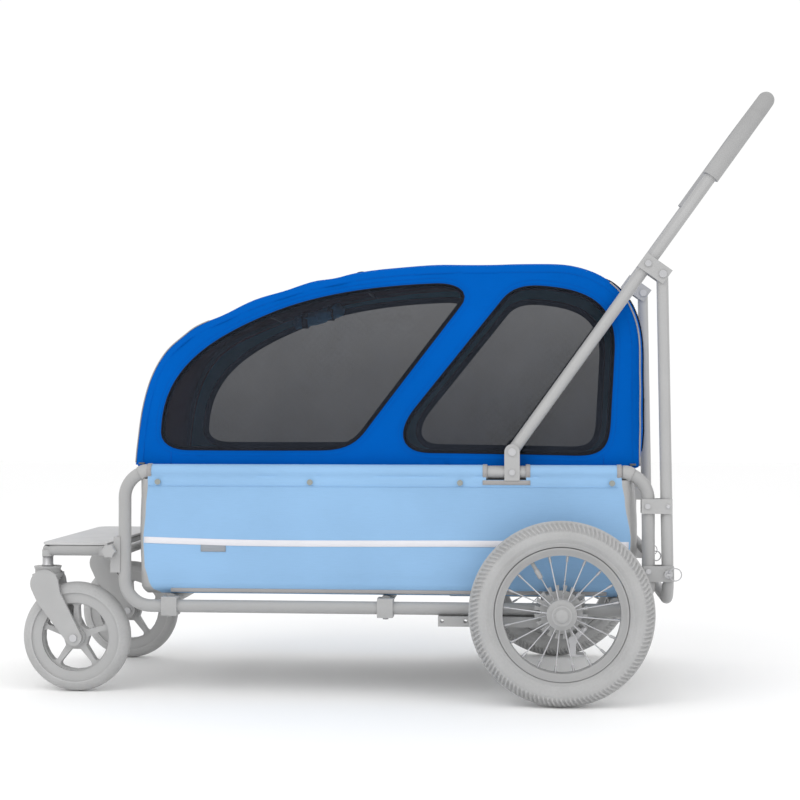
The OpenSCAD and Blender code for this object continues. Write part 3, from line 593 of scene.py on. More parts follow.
CORD, TAPE_LOW = 1.3 * MM, -3.2 * MM        # piping radius, and the dark tape's place behind the cloth
WINDOWS = {"front": (FRONT_WINDOW, MATERIALS["window_mesh"]), "rear": (REAR_WINDOW, REAR_NET)}
nets = []
for side, sign in SIDES.items():
    for label, (outline, net) in WINDOWS.items():
        def place(x, z, sign=sign):
            p = on_side(x, z, -2.0 * MM)
            return Vector((p.x, -sign * p.y, p.z))
        nets.append(net_panel(f"{label}_window_net_{side}", outline, place, net, sign < 0))
        strip_on_side(f"{label}_window_piping_{side}", side, outline, round_section(CORD, 6), 0.2 * MM, TAPE)
        band = tape_section(12 * MM, 0.8 * MM)
        strip_on_side(f"{label}_window_tape_{side}", side, outline, band, TAPE_LOW, TAPE)
nets.append(net_panel("tail_door_net", TAIL_DOOR, lambda s, q: on_roof(s, q, -2.0 * MM), REAR_NET, True))
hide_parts("window_meshes")
strip_on_roof("tail_door_piping", TAIL_DOOR, round_section(CORD, 6), 0.2 * MM, TAPE)
strip_on_roof("tail_door_tape", TAIL_DOOR, tape_section(17 * MM, 0.8 * MM), TAPE_LOW, TAPE)


STITCH_GAP, STITCH_LENGTH, STITCH_WIDTH = 2.3 * MM, 3.1 * MM, 0.55 * MM


def stitches(name, path, out_of):
    """A row of sewing stitches along a closed or open path, as one mesh of small rounded bars."""
    verts, faces = [], []
    for k in range(0, len(path) - 1, 2):
        a, b = Vector(path[k]), Vector(path[k + 1])
        along = (b - a).normalized()
        middle, out = (a + b) / 2, Vector(out_of(k)).normalized()
        side_way = along.cross(out).normalized() * STITCH_WIDTH
        start = len(verts)
        for t, w, h in ((-0.5, 0.35, 0.0), (-0.3, 1.0, 0.6), (0.3, 1.0, 0.6), (0.5, 0.35, 0.0)):
            centre = middle + along * (t * STITCH_LENGTH)
            top = centre + out * (h + 0.3) * STITCH_WIDTH
            verts += [centre - side_way * w, top, centre + side_way * w]
        for r in range(3):
            for c in range(2):
                i = start + 3 * r + c
                faces.append((i, i + 1, i + 4, i + 3))
    return piece(name, verts, faces, THREAD, slot="canopy_cloth", uvs=side_uvs(verts))


# Two rows of stitches around each window, and a zip around the front and tail doors
for side, sign in SIDES.items():
    for label, (outline, _) in WINDOWS.items():
        middle = Vector([sum(p[a] for p in outline) / len(outline) for a in (0, 1)])
        for row, away in ((1, 4), (2, 10)):
            ring = []
            for k, p in enumerate(outline):
                ahead = Vector(outline[(k + 1) % len(outline)]) - Vector(outline[k - 1])
                normal = Vector((ahead.y, -ahead.x)).normalized()
                if normal.dot(Vector(p) - middle) < 0:
                    normal = -normal
                ring.append(tuple(Vector(p) + normal * away * MM))
            dense = spaced(ring, STITCH_GAP, closed=True)
            path = mirrored(side, [on_side(x, z, 0.3 * MM) for x, z in dense])
            stitches(f"{label}_window_stitches_{row}_{side}", path, lambda k: (0, sign, 0))


def zip_on_roof(name, route):
    """A coil zip: two rows of fine teeth on a dark tape."""
    strip_on_roof(f"{name}_tape", route, tape_section(16 * MM, 0.7 * MM), 0.5 * MM, TAPE)
    dense = spaced(route, 1.6 * MM, closed=True)
    path = [on_roof(s, q, 1.3 * MM) for s, q in dense]
    base = [on_roof(s, q) for s, q in dense]
    verts, faces = [], []
    for k in range(len(path) - 1):
        along = (path[k + 1] - path[k]).normalized()
        out = (path[k] - base[k]).normalized()
        across = along.cross(out).normalized() * (1 if k % 2 else -1)
        start = len(verts)
        for t in (-0.6 * MM, 0.6 * MM):
            for c, h in ((-0.4 * MM, 0.0), (0.2 * MM, 0.9 * MM), (2.4 * MM, 0.9 * MM), (2.8 * MM, 0.0)):
                verts.append(path[k] + along * t + across * c + out * h)
        faces += [(start, start + 1, start + 5, start + 4), (start + 1, start + 2, start + 6, start + 5),
                  (start + 2, start + 3, start + 7, start + 6), (start, start + 3, start + 2, start + 1),
                  (start + 4, start + 5, start + 6, start + 7)]
    return piece(f"{name}_teeth", verts, faces, ZIP, slot="canopy_cloth", uvs=side_uvs(verts),
                 smooth=False)


zip_on_roof("nose_zip", NOSE_DOOR)
zip_on_roof("tail_zip", rounded_box(LENGTH - 333 * MM, LENGTH - 30 * MM, 136 * MM, 54 * MM))

def shoulder_line(start, end, steps, share, side):
    """A line along the rounded shoulder, share of the way out from the roof's flat part."""
    q = SIDES[side] * (FLAT + SHOULDER * share)
    return [(start + (end - start) * i / steps, q) for i in range(steps + 1)]


# Light piping along the nose and the tail, a short seam low on each side panel's ends, and a row of
# stitches along the whole shoulder
PIPING = {"tail": (LENGTH - 0.33, LENGTH, 1.5 * MM), "nose": (0.004, 0.304, 1.2 * MM)}
SHORT_SEAMS = {"front": (-0.386, 0.421), "rear": (0.366, 0.414)}        # x and the height of the top
for side in SIDES:
    for label, (start, end, radius) in PIPING.items():
        strip_on_roof(f"{label}_piping_{side}", shoulder_line(start, end, 60, 0.5, side),
                      round_section(radius), 0.5 * MM, GREY_TAPE, closed=False)
    seam_foot = BASE + 2 * MM
    for label, (x, top) in SHORT_SEAMS.items():
        seam = [(x, seam_foot + (top - seam_foot) * i / 6) for i in range(7)]
        strip_on_side(f"{label}_short_seam_{side}", side, seam, round_section(0.6 * MM, 6), 0.3 * MM,
                      THREAD, closed=False)
    dense = spaced(shoulder_line(0.01, LENGTH - 0.01, 190, 1.5, side), STITCH_GAP)
    path = [on_roof(s, q, 0.3 * MM) for s, q in dense]
    base = [on_roof(s, q) for s, q in dense]
    stitches(f"shoulder_stitches_{side}", path, lambda k: path[k] - base[k])


def skirt_loop(depth):
    """The canopy's foot, from its hem at depth 0 down to the zip on the tub's rim at depth 1."""
    loop = []
    edge = FLAT + SHOULDER * math.pi / 2
    front = [on_roof(0.0, -edge + 2 * edge * i / 48, 0.0) for i in range(49)]
    rear = [on_roof(LENGTH, edge - 2 * edge * i / 48, 0.0) for i in range(49)]
    sides = {}
    for sign in (1, -1):
        xs = [front[-1].x + (rear[0].x - front[-1].x) * i / 90 for i in range(1, 90)]
        points = [on_side(x, BASE) for x in xs]
        sides[sign] = [Vector((p.x, sign * abs(p.y), p.z)) for p in points]
    ring = front + sides[1] + rear + list(reversed(sides[-1]))
    for p in ring:
        target_x = min(END_REAR - 4 * MM, max(END_FRONT + 4 * MM, p.x))
        target_y = p.y
        if abs(p.y) > FLAT:
            target_y = math.copysign(min(abs(p.y) + 5 * MM, RAIL_Y - SLEEVE_R - 1 * MM), p.y)
        target = Vector((target_x, target_y, BASE - 7 * MM))
        inner = Vector((p.x - math.copysign(3 * MM, p.x), p.y - math.copysign(3 * MM, p.y), BASE + 3 * MM))
        place = inner.lerp(target, max(0.0, (depth - 0.5) / 0.5))
        loop.append(Vector((place.x, place.y, inner.z + (target.z - inner.z) * depth)))
    return loop

# ------------------------------------------------------------------------- tub
frame_low, frame_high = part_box("side_frame_left")
TUBE_R = (frame_high.y - frame_low.y) / 2
RAIL_Y = -(frame_high.y + frame_low.y) / 2
RAIL_Z = frame_high.z - TUBE_R
sleeve_low, sleeve_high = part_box("tub_side_left")
SLEEVE_R = TUBE_R + 0.5 * MM
FLOOR_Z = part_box("tub_floor")[0].z
END_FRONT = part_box("tub_end_front")[0].x
END_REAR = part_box("tub_end_rear")[1].x
bracket_low, bracket_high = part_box("handle_brackets")
CUT = ((bracket_low.x + bracket_high.x) / 2 - 43 * MM, (bracket_low.x + bracket_high.x) / 2 + 24 * MM)
OPEN_Z = RAIL_Z - 13 * MM         # above this the corners and the handle cut-outs are open
SIDE_STEPS, CORNER_STEPS, END_STEPS = 96, 5, 36
CLOTH = 0.9 * MM                  # how far the tub's shell is thickened outwards
FRONT_BULGE, REAR_BULGE = 17 * MM, 15 * MM
BLUE_ROWS = 5                     # rows under the tub's blue sides, which are grey


def between(table, z):
    """Smoothly read value at z from a short list of (z, value)."""
    for (z0, v0), (z1, v1) in zip(table, table[1:]):
        if z <= z1:
            t = min(1.0, max(0.0, (z - z0) / (z1 - z0)))
            return v0 + (v1 - v0) * t * t * (3 - 2 * t)
    return table[-1][1]


# Height above the floor against how far the wall stands off the rail's centre line, and against
# how far its front and rear edges stand off the sleeve's ends, all in millimetres
WALL_OFFSET = [(0, -7), (12, -1), (45, 4), (100, 6), (160, 8), (200, 11)]
FRONT_EDGE = [(0, 19), (10, 5), (25, -1), (50, -7), (94, -9), (146, -4), (194, 1), (220, 0)]
REAR_EDGE = [(0, -6), (25, 6), (60, 13), (98, 16), (166, 6), (195, 1), (220, 0)]


def wall(x, h):
    """The tub's left wall as a distance off the middle, at x and at a height above the floor."""
    along = (x - sleeve_low.x) / (sleeve_high.x - sleeve_low.x)
    slack = math.sin(math.pi * min(1.0, max(0.0, h / (RAIL_Z - FLOOR_Z))))
    ripple = noise.noise(Vector((x * 9.0, h * 3.0, 4.0))) * 2.2
    ripple += noise.noise(Vector((x * 22.0, h * 5.0, 9.0))) * 0.7
    pull = 5.0 * (2 * along - 1) ** 6
    return RAIL_Y + (between(WALL_OFFSET, h / MM) + slack * (ripple - pull)) * MM


def tub_row(h):
    """Perimeter of the tub at a height above the floor: left side, rear, right side, front."""
    x0 = sleeve_low.x + between(FRONT_EDGE, h / MM) * MM
    x1 = sleeve_high.x + between(REAR_EDGE, h / MM) * MM
    tuck = 10 * MM * max(0.0, 1 - h / (14 * MM)) ** 2
    half = RAIL_Y - TUBE_R - 5 * MM
    z = FLOOR_Z + h
    left = [(x0 + (x1 - x0) * i / SIDE_STEPS) for i in range(SIDE_STEPS + 1)]
    loop = [(x, -wall(x, h) + tuck, z) for x in left]

    def end(x_end, x_side, sign):
        swell = math.sin(math.pi * min(1.0, (h + 0.01) / 0.235)) ** 0.7
        bulge = (REAR_BULGE if sign > 0 else FRONT_BULGE) * swell
        start_y = wall(x_side, h) - tuck
        corner = []
        for k in range(1, CORNER_STEPS + 1):
            a = math.radians(90 * k / (CORNER_STEPS + 1))
            corner.append((x_side + (x_end - x_side) * math.sin(a), half + (start_y - half) * math.cos(a), z))
        part = [(x, -y, z) for x, y, z in corner]
        for k in range(END_STEPS + 1):
            t = 2 * k / END_STEPS - 1
            crease = 1.2 * MM * noise.noise(Vector((t * 5.0, h * 6.0, sign * 3.0)))
            part.append((x_end + sign * ((1 - t ** 6) * bulge + crease), half * t, z))
        return part + corner[::-1]

    loop += end(END_REAR - tuck, x1, 1)
    loop += [(x, wall(x, h) - tuck, z) for x in reversed(left)]
    back = end(END_FRONT + tuck, x0, -1)
    loop += [(x, -y, zz) for x, y, zz in back]
    return loop


def column_kind(j):
    """Which part of the perimeter a column of faces is on."""
    span = 2 * (CORNER_STEPS + 1) + END_STEPS + SIDE_STEPS
    j = j % (2 * span)
    half = "left" if j < span else "right"
    j = j % span
    if j < SIDE_STEPS:
        return half
    j -= SIDE_STEPS
    if j <= CORNER_STEPS or j >= CORNER_STEPS + END_STEPS + 1:
        return "corner"
    return "end"


def tub_shell():
    """Blue sides, grey ends and a sagging bottom as one lofted shell whose sides wrap over the top rails."""
    rows = []
    middle = Vector(((END_FRONT + END_REAR) / 2, 0, 0))
    for shrink in (0.12, 0.35, 0.6, 0.8, 0.92, 0.975):
        row = []
        for x, y, _ in tub_row(0):
            sag = 0.6 * MM + 2.4 * MM * abs(math.sin(x * 16)) * (1 - shrink)
            row.append((middle.x + (x - middle.x) * shrink, y * shrink, FLOOR_Z - sag))
        rows.append(row)
    heights = [0, 3, 7, 12, 20, 32, 46, 60, 74, 88, 102, 116, 130, 144, 158, 170, 181, 190]
    heights = [h * MM for h in heights] + [OPEN_Z - FLOOR_Z]
    rows += [tub_row(h) for h in heights]
    open_row = len(rows) - 1
    top = rows[-1]
    for degrees in (-40, -15, 10, 35, 60, 85, 110, 135, 160, 185, 205):
        a = math.radians(degrees)
        row = []
        for j, (x, y, z) in enumerate(top):
            if abs(y) > RAIL_Y - 1.5 * TUBE_R and sleeve_low.x - MM <= x <= sleeve_high.x + MM:
                side_sign = 1 if y > 0 else -1
                row.append((x, side_sign * (RAIL_Y + SLEEVE_R * math.cos(a)),
                            RAIL_Z + SLEEVE_R * math.sin(a)))
            else:
                rise = min(1.0, (degrees + 60) / 120)
                fold = max(0.0, (degrees - 60) / 145)
                inward = 1 if x < 0 else -1
                row.append((x + inward * 3 * MM * min(1.0, 3 * fold), y,
                            OPEN_Z + (399 * MM - OPEN_Z) * rise - 14 * MM * fold))
        rows.append(row)
    count = len(rows[0])

    def keep(i, j):
        kind = column_kind(j)
        if i < open_row:
            return True
        if kind == "corner":
            return False
        if kind == "end":
            return True
        x = (rows[i][j][0] + rows[i][(j + 1) % count][0]) / 2
        return not CUT[0] < x < CUT[1]

    verts = [v for row in rows for v in row]
    faces = grid_faces(len(rows), count, close_columns=True, keep=keep)
    kinds = [column_kind(f[0] % count) for f in faces]
    levels = [f[0] // count for f in faces]
    faces.append(tuple(range(count)))
    kinds.append("end")
    levels.append(0)
    uvs = []
    for row in rows:
        walked = 0.0
        for j, v in enumerate(row):
            walked += (Vector(v) - Vector(row[j - 1])).length if j else 0.0
            uvs.append((walked, v[2]))
    obj = piece("tub_shell", verts, faces, "tub_cloth", uvs=uvs)
    for _ in range(3):
        obj.data.materials.append(MATERIALS["lining_cloth"])
    for polygon, kind, level in zip(obj.data.polygons, kinds, levels):
        polygon.material_index = 0 if kind in SIDES and level >= BLUE_ROWS else 2
    thicken(obj, CLOTH, offset=1.0).modifiers["thickness"].material_offset = 1
    return obj


tub = tub_shell()
tub_area = settle(tub)
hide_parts("tub_side_left", "tub_side_right", "tub_end_front", "tub_end_rear", "tub_floor")


def wall_route(side, points, lift):
    """A line over the tub's side through (x, height above the floor)."""
    sign = -1 if side == "left" else 1
    return [Vector((x, sign * (wall(x, h) + lift), FLOOR_Z + h)) for x, h in points]


def wall_strip(name, side, route, section, lift, material):
    """Tape or piping along a route on one side of the tub."""
    path = wall_route("left", route, lift + CLOTH)
    verts, faces = sweep(path, section, lambda i: Vector((0, -1, 0)))
    uvs = side_uvs(verts)
    return piece(name, mirrored(side, verts), turned(side, faces), material, slot="tub_cloth", uvs=uvs)


def ring_binding(name, side, x, material):
    """A narrow band around the sleeve, where its edge is turned in."""
    verts, faces = [], []
    turns = 22
    for k in range(turns + 1):
        a = math.radians(-75 + 290 * k / turns)
        for dx, r in ((-4, 0.1), (-3.6, 0.9), (3.6, 0.9), (4, 0.1)):
            rr = SLEEVE_R + CLOTH + 0.1 * MM + r * MM
            verts.append((x + dx * MM, -(RAIL_Y + rr * math.cos(a)), RAIL_Z + rr * math.sin(a)))
    faces = grid_faces(turns + 1, 4)
    return piece(name, mirrored(side, verts), turned(side, faces), material, slot="tub_cloth",
                 uvs=side_uvs(verts))


for side in SIDES:
    xs = [sleeve_low.x - 8 * MM + (sleeve_high.x - sleeve_low.x + 21 * MM) * i / 90 for i in range(91)]
    stripe = [(x, (89.5 + 3.0 * max(0.0, (-0.15 - x) / 0.28) ** 2 + 0.8 * math.sin(9 * x)) * MM) for x in xs]
    wall_strip(f"reflective_stripe_{side}", side, stripe, tape_section(11 * MM, 0.8 * MM), 0.3 * MM,
               REFLECTIVE)
    seam = [(x, RAIL_Z - FLOOR_Z - 25 * MM) for x in xs[1:-2]]
    wall_strip(f"sleeve_seam_{side}", side, seam, round_section(0.7 * MM, 6), 0.4 * MM,
               MATERIALS["tub_cloth"])
    hem = [(x, 6 * MM) for x in xs[5:-4]]
    wall_strip(f"tub_hem_{side}", side, hem, tape_section(7 * MM, 1.0 * MM), 0.2 * MM, GREY_TAPE)
    cut_x = [CUT[0] - 7 * MM + (CUT[1] - CUT[0] + 14 * MM) * i / 12 for i in range(13)]
    wall_strip(f"cut_hem_{side}", side, [(x, OPEN_Z - FLOOR_Z - 4.5 * MM) for x in cut_x],
               tape_section(8 * MM, 1.0 * MM), 0.3 * MM, GREY_TAPE)
    for label, x in (("front", sleeve_low.x + 3 * MM), ("cut_front", CUT[0] - 3 * MM),
                     ("cut_rear", CUT[1] + 3 * MM), ("rear", sleeve_high.x - 3 * MM)):
        ring_binding(f"sleeve_binding_{label}_{side}", side, x, GREY_TAPE)

# Plain woven label below the stripe, on the near side only
label_start = sleeve_low.x + 93 * MM
wall_strip("side_label", "left", [(label_start + 44 * MM * i / 8, 80 * MM) for i in range(9)],
           tape_section(13 * MM, 0.7 * MM), 0.6 * MM, LABEL)


def corner_patch(name, side, front):
    """Grey cloth around the rail where it starts to bend, sewn to the sleeve's end."""
    radius = 46 * MM
    centre = Vector((sleeve_low.x + 4 * MM if front else sleeve_high.x, RAIL_Z - radius))
    turn = 1 if front else -1
    rows, verts = 7, []
    for i in range(rows):
        a = math.radians(90 + turn * (3 + 22 * i / (rows - 1)))
        around = 20
        for k in range(around + 1):
            b = math.radians(-100 + 300 * k / around)
            r = SLEEVE_R + 0.6 * MM + 0.5 * MM * math.sin(3 * b + i)
            out = radius + r * math.sin(b)
            verts.append((centre.x + out * math.cos(a), -(RAIL_Y + r * math.cos(b)),
                          centre.y + out * math.sin(a)))
    faces = grid_faces(rows, around + 1)
    faces = faces if front else [tuple(reversed(f)) for f in faces]
    obj = piece(name, mirrored(side, verts), turned(side, faces), "lining_cloth",
                uvs=[(v[0], v[1]) for v in verts])
    return thicken(obj, 0.9 * MM, offset=0.0)


for side in SIDES:
    corner_patch(f"corner_patch_front_{side}", side, True)
    corner_patch(f"corner_patch_rear_{side}", side, False)

# Hem of the canopy and the zip that joins it to the tub, as one band all around its foot
rings = [skirt_loop(d) for d in (0.0, 0.25, 0.5, 0.75, 1.0)]
skirt = piece("canopy_foot", [v for ring in rings for v in ring],
              grid_faces(len(rings), len(rings[0]), close_columns=True), "canopy_cloth",
              uvs=[(v.x + v.y, v.z) for ring in rings for v in ring])
thicken(skirt, 0.8 * MM, offset=0.0)

# ------------------------------------------------------------------------- mat
mat_low, mat_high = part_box("floor_mat")
PANELS_X, PANELS_Y = 5, 3         # sewn channels along and across the mat
PUFF_FRAMES, PUFF_FURTHEST = 14, 3.5 * MM


def quilted_mat():
    """A foam mat with crowned panels between its sewn channels and sides pulled in between the corners."""
    nx, ny = 120, 60
    size = mat_high - mat_low
    verts, uvs = [], []
    for layer in (1, -1):
        for i in range(nx + 1):
            for j in range(ny + 1):
                u, v = i / nx, j / ny
                pull_x = 4 * MM * math.sin(math.pi * v) * (2 * u - 1) ** 3
                pull_y = 4 * MM * math.sin(math.pi * u) * (2 * v - 1) ** 3
                edge = min(1.0, 14 * min(u, 1 - u) * size.x / size.y) * min(1.0, 14 * min(v, 1 - v))
                edge = math.sqrt(max(0.0, 1 - (1 - edge) ** 2))
                lengthways = math.exp(-((u * PANELS_X % 1 - 0.5) / 0.03) ** 2)
                crossways = math.exp(-((v * PANELS_Y % 1 - 0.5) / 0.05) ** 2)
                channel = 1 - 0.35 * max(lengthways, crossways)
                middle = mat_low.z + size.z * 0.42
                rise = size.z * (0.58 if layer > 0 else 0.40) * edge * (channel if layer > 0 else 1.0)
                verts.append((mat_low.x + u * size.x - pull_x, mat_low.y + v * size.y - pull_y,
                              middle + layer * rise))
                uvs.append((u * size.x, v * size.y))
    n = ny + 1
    top = grid_faces(nx + 1, n)
    start = (nx + 1) * n
    faces = [tuple(reversed(f)) for f in top] + [tuple(start + k for k in f) for f in top]
    obj = piece("floor_pad", verts, [tuple(reversed(f)) for f in faces], "mat_cloth", uvs=uvs)
    weld = obj.modifiers.new("edge seam", "WELD")
    weld.merge_threshold = 0.2 * MM
    return obj


def puff_up(obj):
    """A short cloth simulation of the pad's top between its sewn channels, whose result is kept."""
    size = mat_high - mat_low
    sewn = obj.vertex_groups.new(name="sewn")
    held = []
    for v in obj.data.vertices:
        u, w = (v.co.x - mat_low.x) / size.x, (v.co.y - mat_low.y) / size.y
        channel = abs(u * PANELS_X % 1 - 0.5) < 0.045 or abs(w * PANELS_Y % 1 - 0.5) < 0.06
        if channel or min(u, 1 - u) < 0.012 or min(w, 1 - w) < 0.025 or v.co.z < mat_low.z + size.z * 0.5:
            held.append(v.index)
    sewn.add(held, 1.0, "REPLACE")
    cloth = obj.modifiers.new("puff", "CLOTH")
    cloth.settings.vertex_group_mass = "sewn"
    cloth.settings.use_pressure = True
    cloth.settings.uniform_pressure_force = 4.0
    cloth.settings.effector_weights.gravity = 0.0
    cloth.settings.quality = 4
    cloth.point_cache.frame_start, cloth.point_cache.frame_end = 1, PUFF_FRAMES
    for frame_number in range(1, PUFF_FRAMES + 1):
        scene.frame_set(frame_number)
    moved = obj.evaluated_get(bpy.context.evaluated_depsgraph_get()).data
    places = []
    for v, m in zip(obj.data.vertices, moved.vertices):
        step = m.co - v.co
        places.append(v.co + step * min(1.0, PUFF_FURTHEST / max(step.length, 1e-9)))
    obj.modifiers.remove(cloth)
    scene.frame_set(1)
    for v, place in zip(obj.data.vertices, places):
        v.co = place


mat = quilted_mat()
settle(mat, 70)
puff_up(mat)
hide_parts("floor_mat")

# ----------------------------------------------------------------- rear tyres
TREAD_RIBS = 118


def tyre_section(degrees, ribs_phase, fat):
    """Radius of the tyre's casing at an angle round its section: crown 0, sidewalls 90, with tread ribs."""
    a = abs(degrees)
    shoulder = min(1.0, max(0.0, (a - 17) / 5)) * min(1.0, max(0.0, (72 - a) / 6))
    ridge = max(0.0, min(1.0, 0.75 + 2.2 * math.sin(ribs_phase - 2 * math.pi * (a - 25) / 46)))
    crown = min(1.0, max(0.0, (12 - a) / 3))
    line = math.exp(-((a - 84) / 2.0) ** 2) + 0.7 * math.exp(-((a - 112) / 2.0) ** 2)
    return fat - 3.5 * MM + (3.4 * shoulder * ridge + 3.4 * crown + 0.5 * line) * MM


for side, sign in SIDES.items():
    tyre_low, tyre_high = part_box(f"rear_tyre_{side}")
    rim_low, rim_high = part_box(f"rear_rim_{side}")
    centre = (tyre_low + tyre_high) / 2
    fat = (tyre_high.y - tyre_low.y) / 2
    core = (tyre_high.z - tyre_low.z) / 2 - fat
    bead = (rim_high.z - rim_low.z) / 2
    bead_y = (rim_high.y - rim_low.y) / 2 + 0.4 * MM
    rounds, section = TREAD_RIBS * 8, 56
    verts, uvs = [], []
    for i in range(rounds):
        turn = 2 * math.pi * i / rounds
        for k in range(-2, section + 3):
            degrees = -136 + 272 * min(section, max(0, k)) / section
            a = math.radians(degrees)
            r = tyre_section(degrees, TREAD_RIBS * turn, fat)
            across, out = r * math.sin(a), core + r * math.cos(a)
            if k < 0 or k > section:
                step = -k if k < 0 else k - section
                across = math.copysign(bead_y if step == 1 else bead_y - 5 * MM, across)
                out = bead + (2.0 * MM if step == 1 else 0.4 * MM)
            verts.append((centre.x + out * math.sin(turn), centre.y + across,
                          centre.z + out * math.cos(turn)))
            uvs.append((turn, a))
    tyre = piece(f"treaded_tyre_{side}", verts, grid_faces(rounds, section + 5, close_rows=True),
                 "wheel_rubber", body=f"rear_wheel_{side}", uvs=uvs)
    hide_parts(f"rear_tyre_{side}")

# ------------------------------------------------- small hardware and the shade
def lathe(origin, axis, across, other, levels, sides):
    """A turned part along an axis; levels are (distance, radius) in mm, and two directions lie across."""
    verts = []
    for distance, r in levels:
        for k in range(sides):
            b = 2 * math.pi * k / sides
            round_axis = across * math.cos(b) + other * math.sin(b)
            verts.append(origin + axis * distance * MM + round_axis * r * MM)
    return verts, grid_faces(len(levels), sides, close_columns=True)


def joined(parts):
    """Several parts' points and faces as those of one mesh."""
    verts, faces = [], []
    for more, more_faces in parts:
        faces += [tuple(len(verts) + k for k in f) for f in more_faces]
        verts += more
    return verts, faces


AXIS_X, AXIS_Y, AXIS_Z = Vector((1, 0, 0)), Vector((0, 1, 0)), Vector((0, 0, 1))
# Turned parts as (distance, radius) in millimetres: from the ground up, out from the hub cap's face,
# and out from the rim's inside
STEM_SLEEVE = [(219.3, 8.0), (219.3, 9.9), (222.6, 9.9), (222.9, 9.3), (235.9, 9.3), (235.9, 8.0)]
HUB_DOME = [(-1.5, 17.0), (0.6, 17.0), (1.6, 15.5), (0.8, 14.0), (0.6, 11.5), (2.6, 11.0), (4.4, 9.5),
            (5.6, 6.5), (6.1, 3.0), (6.2, 0.3)]
NIPPLE = [(3, 2.3), (-6, 2.1), (-7, 1.4)]
VALVE = [(3, 3.4), (-9, 3.2), (-10, 4.3), (-24, 4.1), (-26.5, 2.6), (-27, 0.3)]
SPOKES, SPOKE_START, VALVE_DEGREES = 20, 6, -30

for side in SIDES:
    # Bright sleeve on each caster's stem, between the fork's collar and the deck's boss
    stem = next(j for j in frame["joints"] if j["name"] == f"caster_swivel_{side}")["pos_m"]
    verts, faces = lathe(Vector((stem[0], stem[1], 0)), AXIS_Z, AXIS_X, AXIS_Y, STEM_SLEEVE, 36)
    piece(f"stem_sleeve_{side}", verts, [tuple(reversed(f)) for f in faces], "bright_steel",
          body=f"caster_fork_{side}")

for side, sign in SIDES.items():
    # Raised ring and small dome on each rear hub cap
    cap_low, cap_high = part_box(f"hub_cap_{side}")
    cap = (cap_low + cap_high) / 2
    cap.y = cap_high.y if sign > 0 else cap_low.y
    verts, faces = lathe(cap, AXIS_Y * sign, AXIS_X, AXIS_Z, HUB_DOME, 40)
    piece(f"hub_dome_{side}", verts, turned(side, faces), "moulded_plastic", body=f"rear_wheel_{side}")

# Spoke nipples at the rims and a capped valve on each rear wheel
for side in SIDES:
    rim_low, rim_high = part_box(f"rear_rim_{side}")
    centre = (rim_low + rim_high) / 2
    rim_inside = (rim_high.z - rim_low.z) / 2 - 17.5 * MM

    def stub(degrees, levels, sides):
        """A small turned part on the rim's inside that points at the wheel's middle."""
        a = math.radians(degrees)
        out, along = Vector((math.sin(a), 0, math.cos(a))), Vector((math.cos(a), 0, -math.sin(a)))
        return lathe(centre + out * rim_inside, out, along, AXIS_Y, levels, sides)

    verts, faces = joined([stub(360 / SPOKES * i + SPOKE_START, NIPPLE, 8) for i in range(SPOKES)])
    piece(f"spoke_nipples_{side}", verts, faces, "bright_steel", body=f"rear_wheel_{side}")
    verts, faces = stub(VALVE_DEGREES, VALVE, 16)
    piece(f"valve_{side}", verts, faces, "moulded_plastic", body=f"rear_wheel_{side}")

# Rolled shade tied under the far side of the roof; its cloth is lightened as painted light on it
ROLL_STEPS = 24
ROLL_START, ROLL_REACH = Vector((-0.210, 0.118, 0.664)), Vector((0.085, 0, 0.026))
roll_path = []
for i in range(ROLL_STEPS + 1):
    wander = Vector((0, 0.004 * math.sin(i * 0.7), -0.003 * math.sin(math.pi * i / ROLL_STEPS)))
    roll_path.append(ROLL_START + ROLL_REACH * (i / ROLL_STEPS) + wander)
roll_section = []
for k in range(20):
    r, a = (15 + 1.8 * math.sin(1.5 * k)) * MM, 2 * math.pi * k / 20
    roll_section.append((r * math.cos(a), 0.8 * r * math.sin(a)))
verts, faces = sweep(roll_path, roll_section, lambda i: (0.1 * math.sin(i * 0.9), 0.1 * math.cos(i * 1.3), 1))
piece("rolled_shade", verts, faces, LIT_SHADE_CLOTH, slot="canopy_cloth", uvs=side_uvs(verts))
for label, i in (("front", 5), ("rear", 19)):
    centre = roll_path[i]
    loop = []
    for k in range(28):
        a = 2 * math.pi * k / 28
        loop.append(centre + Vector((0, 17.5 * MM * math.cos(a), 14.5 * MM * math.sin(a))))
    verts, faces = sweep(loop, tape_section(12 * MM, 0.9 * MM), lambda k: loop[k] - centre, closed=True)
    piece(f"shade_tie_{label}", verts, faces, TAPE, slot="canopy_cloth", uvs=side_uvs(verts))

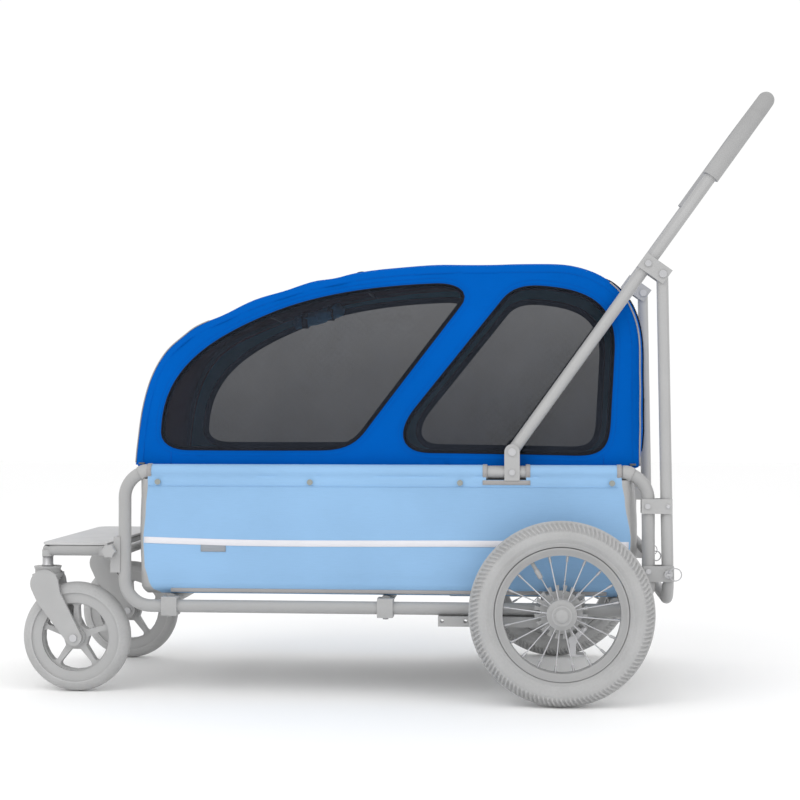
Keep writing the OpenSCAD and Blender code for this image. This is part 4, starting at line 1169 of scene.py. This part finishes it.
# Webbing loops on the roof above the cross rods
LOOP_X, LOOP_Y, LOOP_HALF, LOOP_RISE = {"front": -0.245, "rear": -0.061}, 0.1, 11 * MM, 5.5
for label, x in LOOP_X.items():
    s = next(STEP * k for k, p in enumerate(PROFILE) if p.x >= x)
    for side, sign in SIDES.items():
        path = []
        for k in range(17):
            a = math.pi * k / 16
            lift = (0.4 + LOOP_RISE * math.sin(a)) * MM
            path.append(on_roof(s + LOOP_HALF * math.cos(a), sign * LOOP_Y, lift))
        base = on_roof(s, sign * LOOP_Y, -2 * MM)
        verts, faces = sweep(path, tape_section(14 * MM, 1.1 * MM), lambda k: path[k] - base)
        piece(f"roof_loop_{label}_{side}", verts, faces, TAPE, slot="canopy_cloth",
              uvs=[(v.y, v.z) for v in verts])


# ------------------------------------------------------------- net areas
def cut_area(obj):
    """Area of a sheet's own mesh, one layer of it, in square metres."""
    return sum(polygon.area for polygon in obj.data.polygons)


for net in nets:
    cut_area(net)

# ------------------------------------------------------------------------ stage
floor_size = 12.0
floor_mesh = bpy.data.meshes.new("floor")
floor_mesh.from_pydata([(-floor_size, -floor_size, 0), (floor_size, -floor_size, 0),
                        (floor_size, floor_size, 0), (-floor_size, floor_size, 0)], [], [(0, 1, 2, 3)])
floor = bpy.data.objects.new("floor", floor_mesh)
scene.collection.objects.link(floor)
floor_material = solid_material("pale floor", (0.97, 0.97, 0.97), 0.8, 300.0, 0.00002, 0.002, wear=0.0)
floor_mesh.materials.append(floor_material)

world = bpy.data.worlds.new("studio")
scene.world = world
world.use_nodes = True
world.node_tree.nodes["Background"].inputs["Color"].default_value = (1.0, 1.0, 1.0, 1.0)
world.node_tree.nodes["Background"].inputs["Strength"].default_value = 1.02


def soft_light(name, place, target, size, power):
    lamp = bpy.data.lights.new(name, "AREA")
    lamp.size = size
    lamp.energy = power
    obj = bpy.data.objects.new(name, lamp)
    scene.collection.objects.link(obj)
    obj.location = place
    obj.rotation_euler = (Vector(target) - Vector(place)).to_track_quat("-Z", "Y").to_euler()


soft_light("key", (-1.6, -2.6, 3.2), (0, 0, 0.4), 2.5, 34)
soft_light("fill", (2.6, -2.0, 2.4), (0, 0, 0.4), 2.5, 14)
scene.view_settings.view_transform = "Standard"

# The camera stands 2.8 m off the near side, a little behind the middle, at half the trailer's height
camera_data = bpy.data.cameras.new("camera")
camera_data.sensor_width = 36.0
camera_data.lens = 36.0 * 1519.9 / 800
camera = bpy.data.objects.new("camera", camera_data)
scene.collection.objects.link(camera)
camera.location = (0.2259, -2.8126, 0.4919)
camera.rotation_euler = Euler((math.radians(90.426), 0.0, math.radians(4.571)))
scene.camera = camera
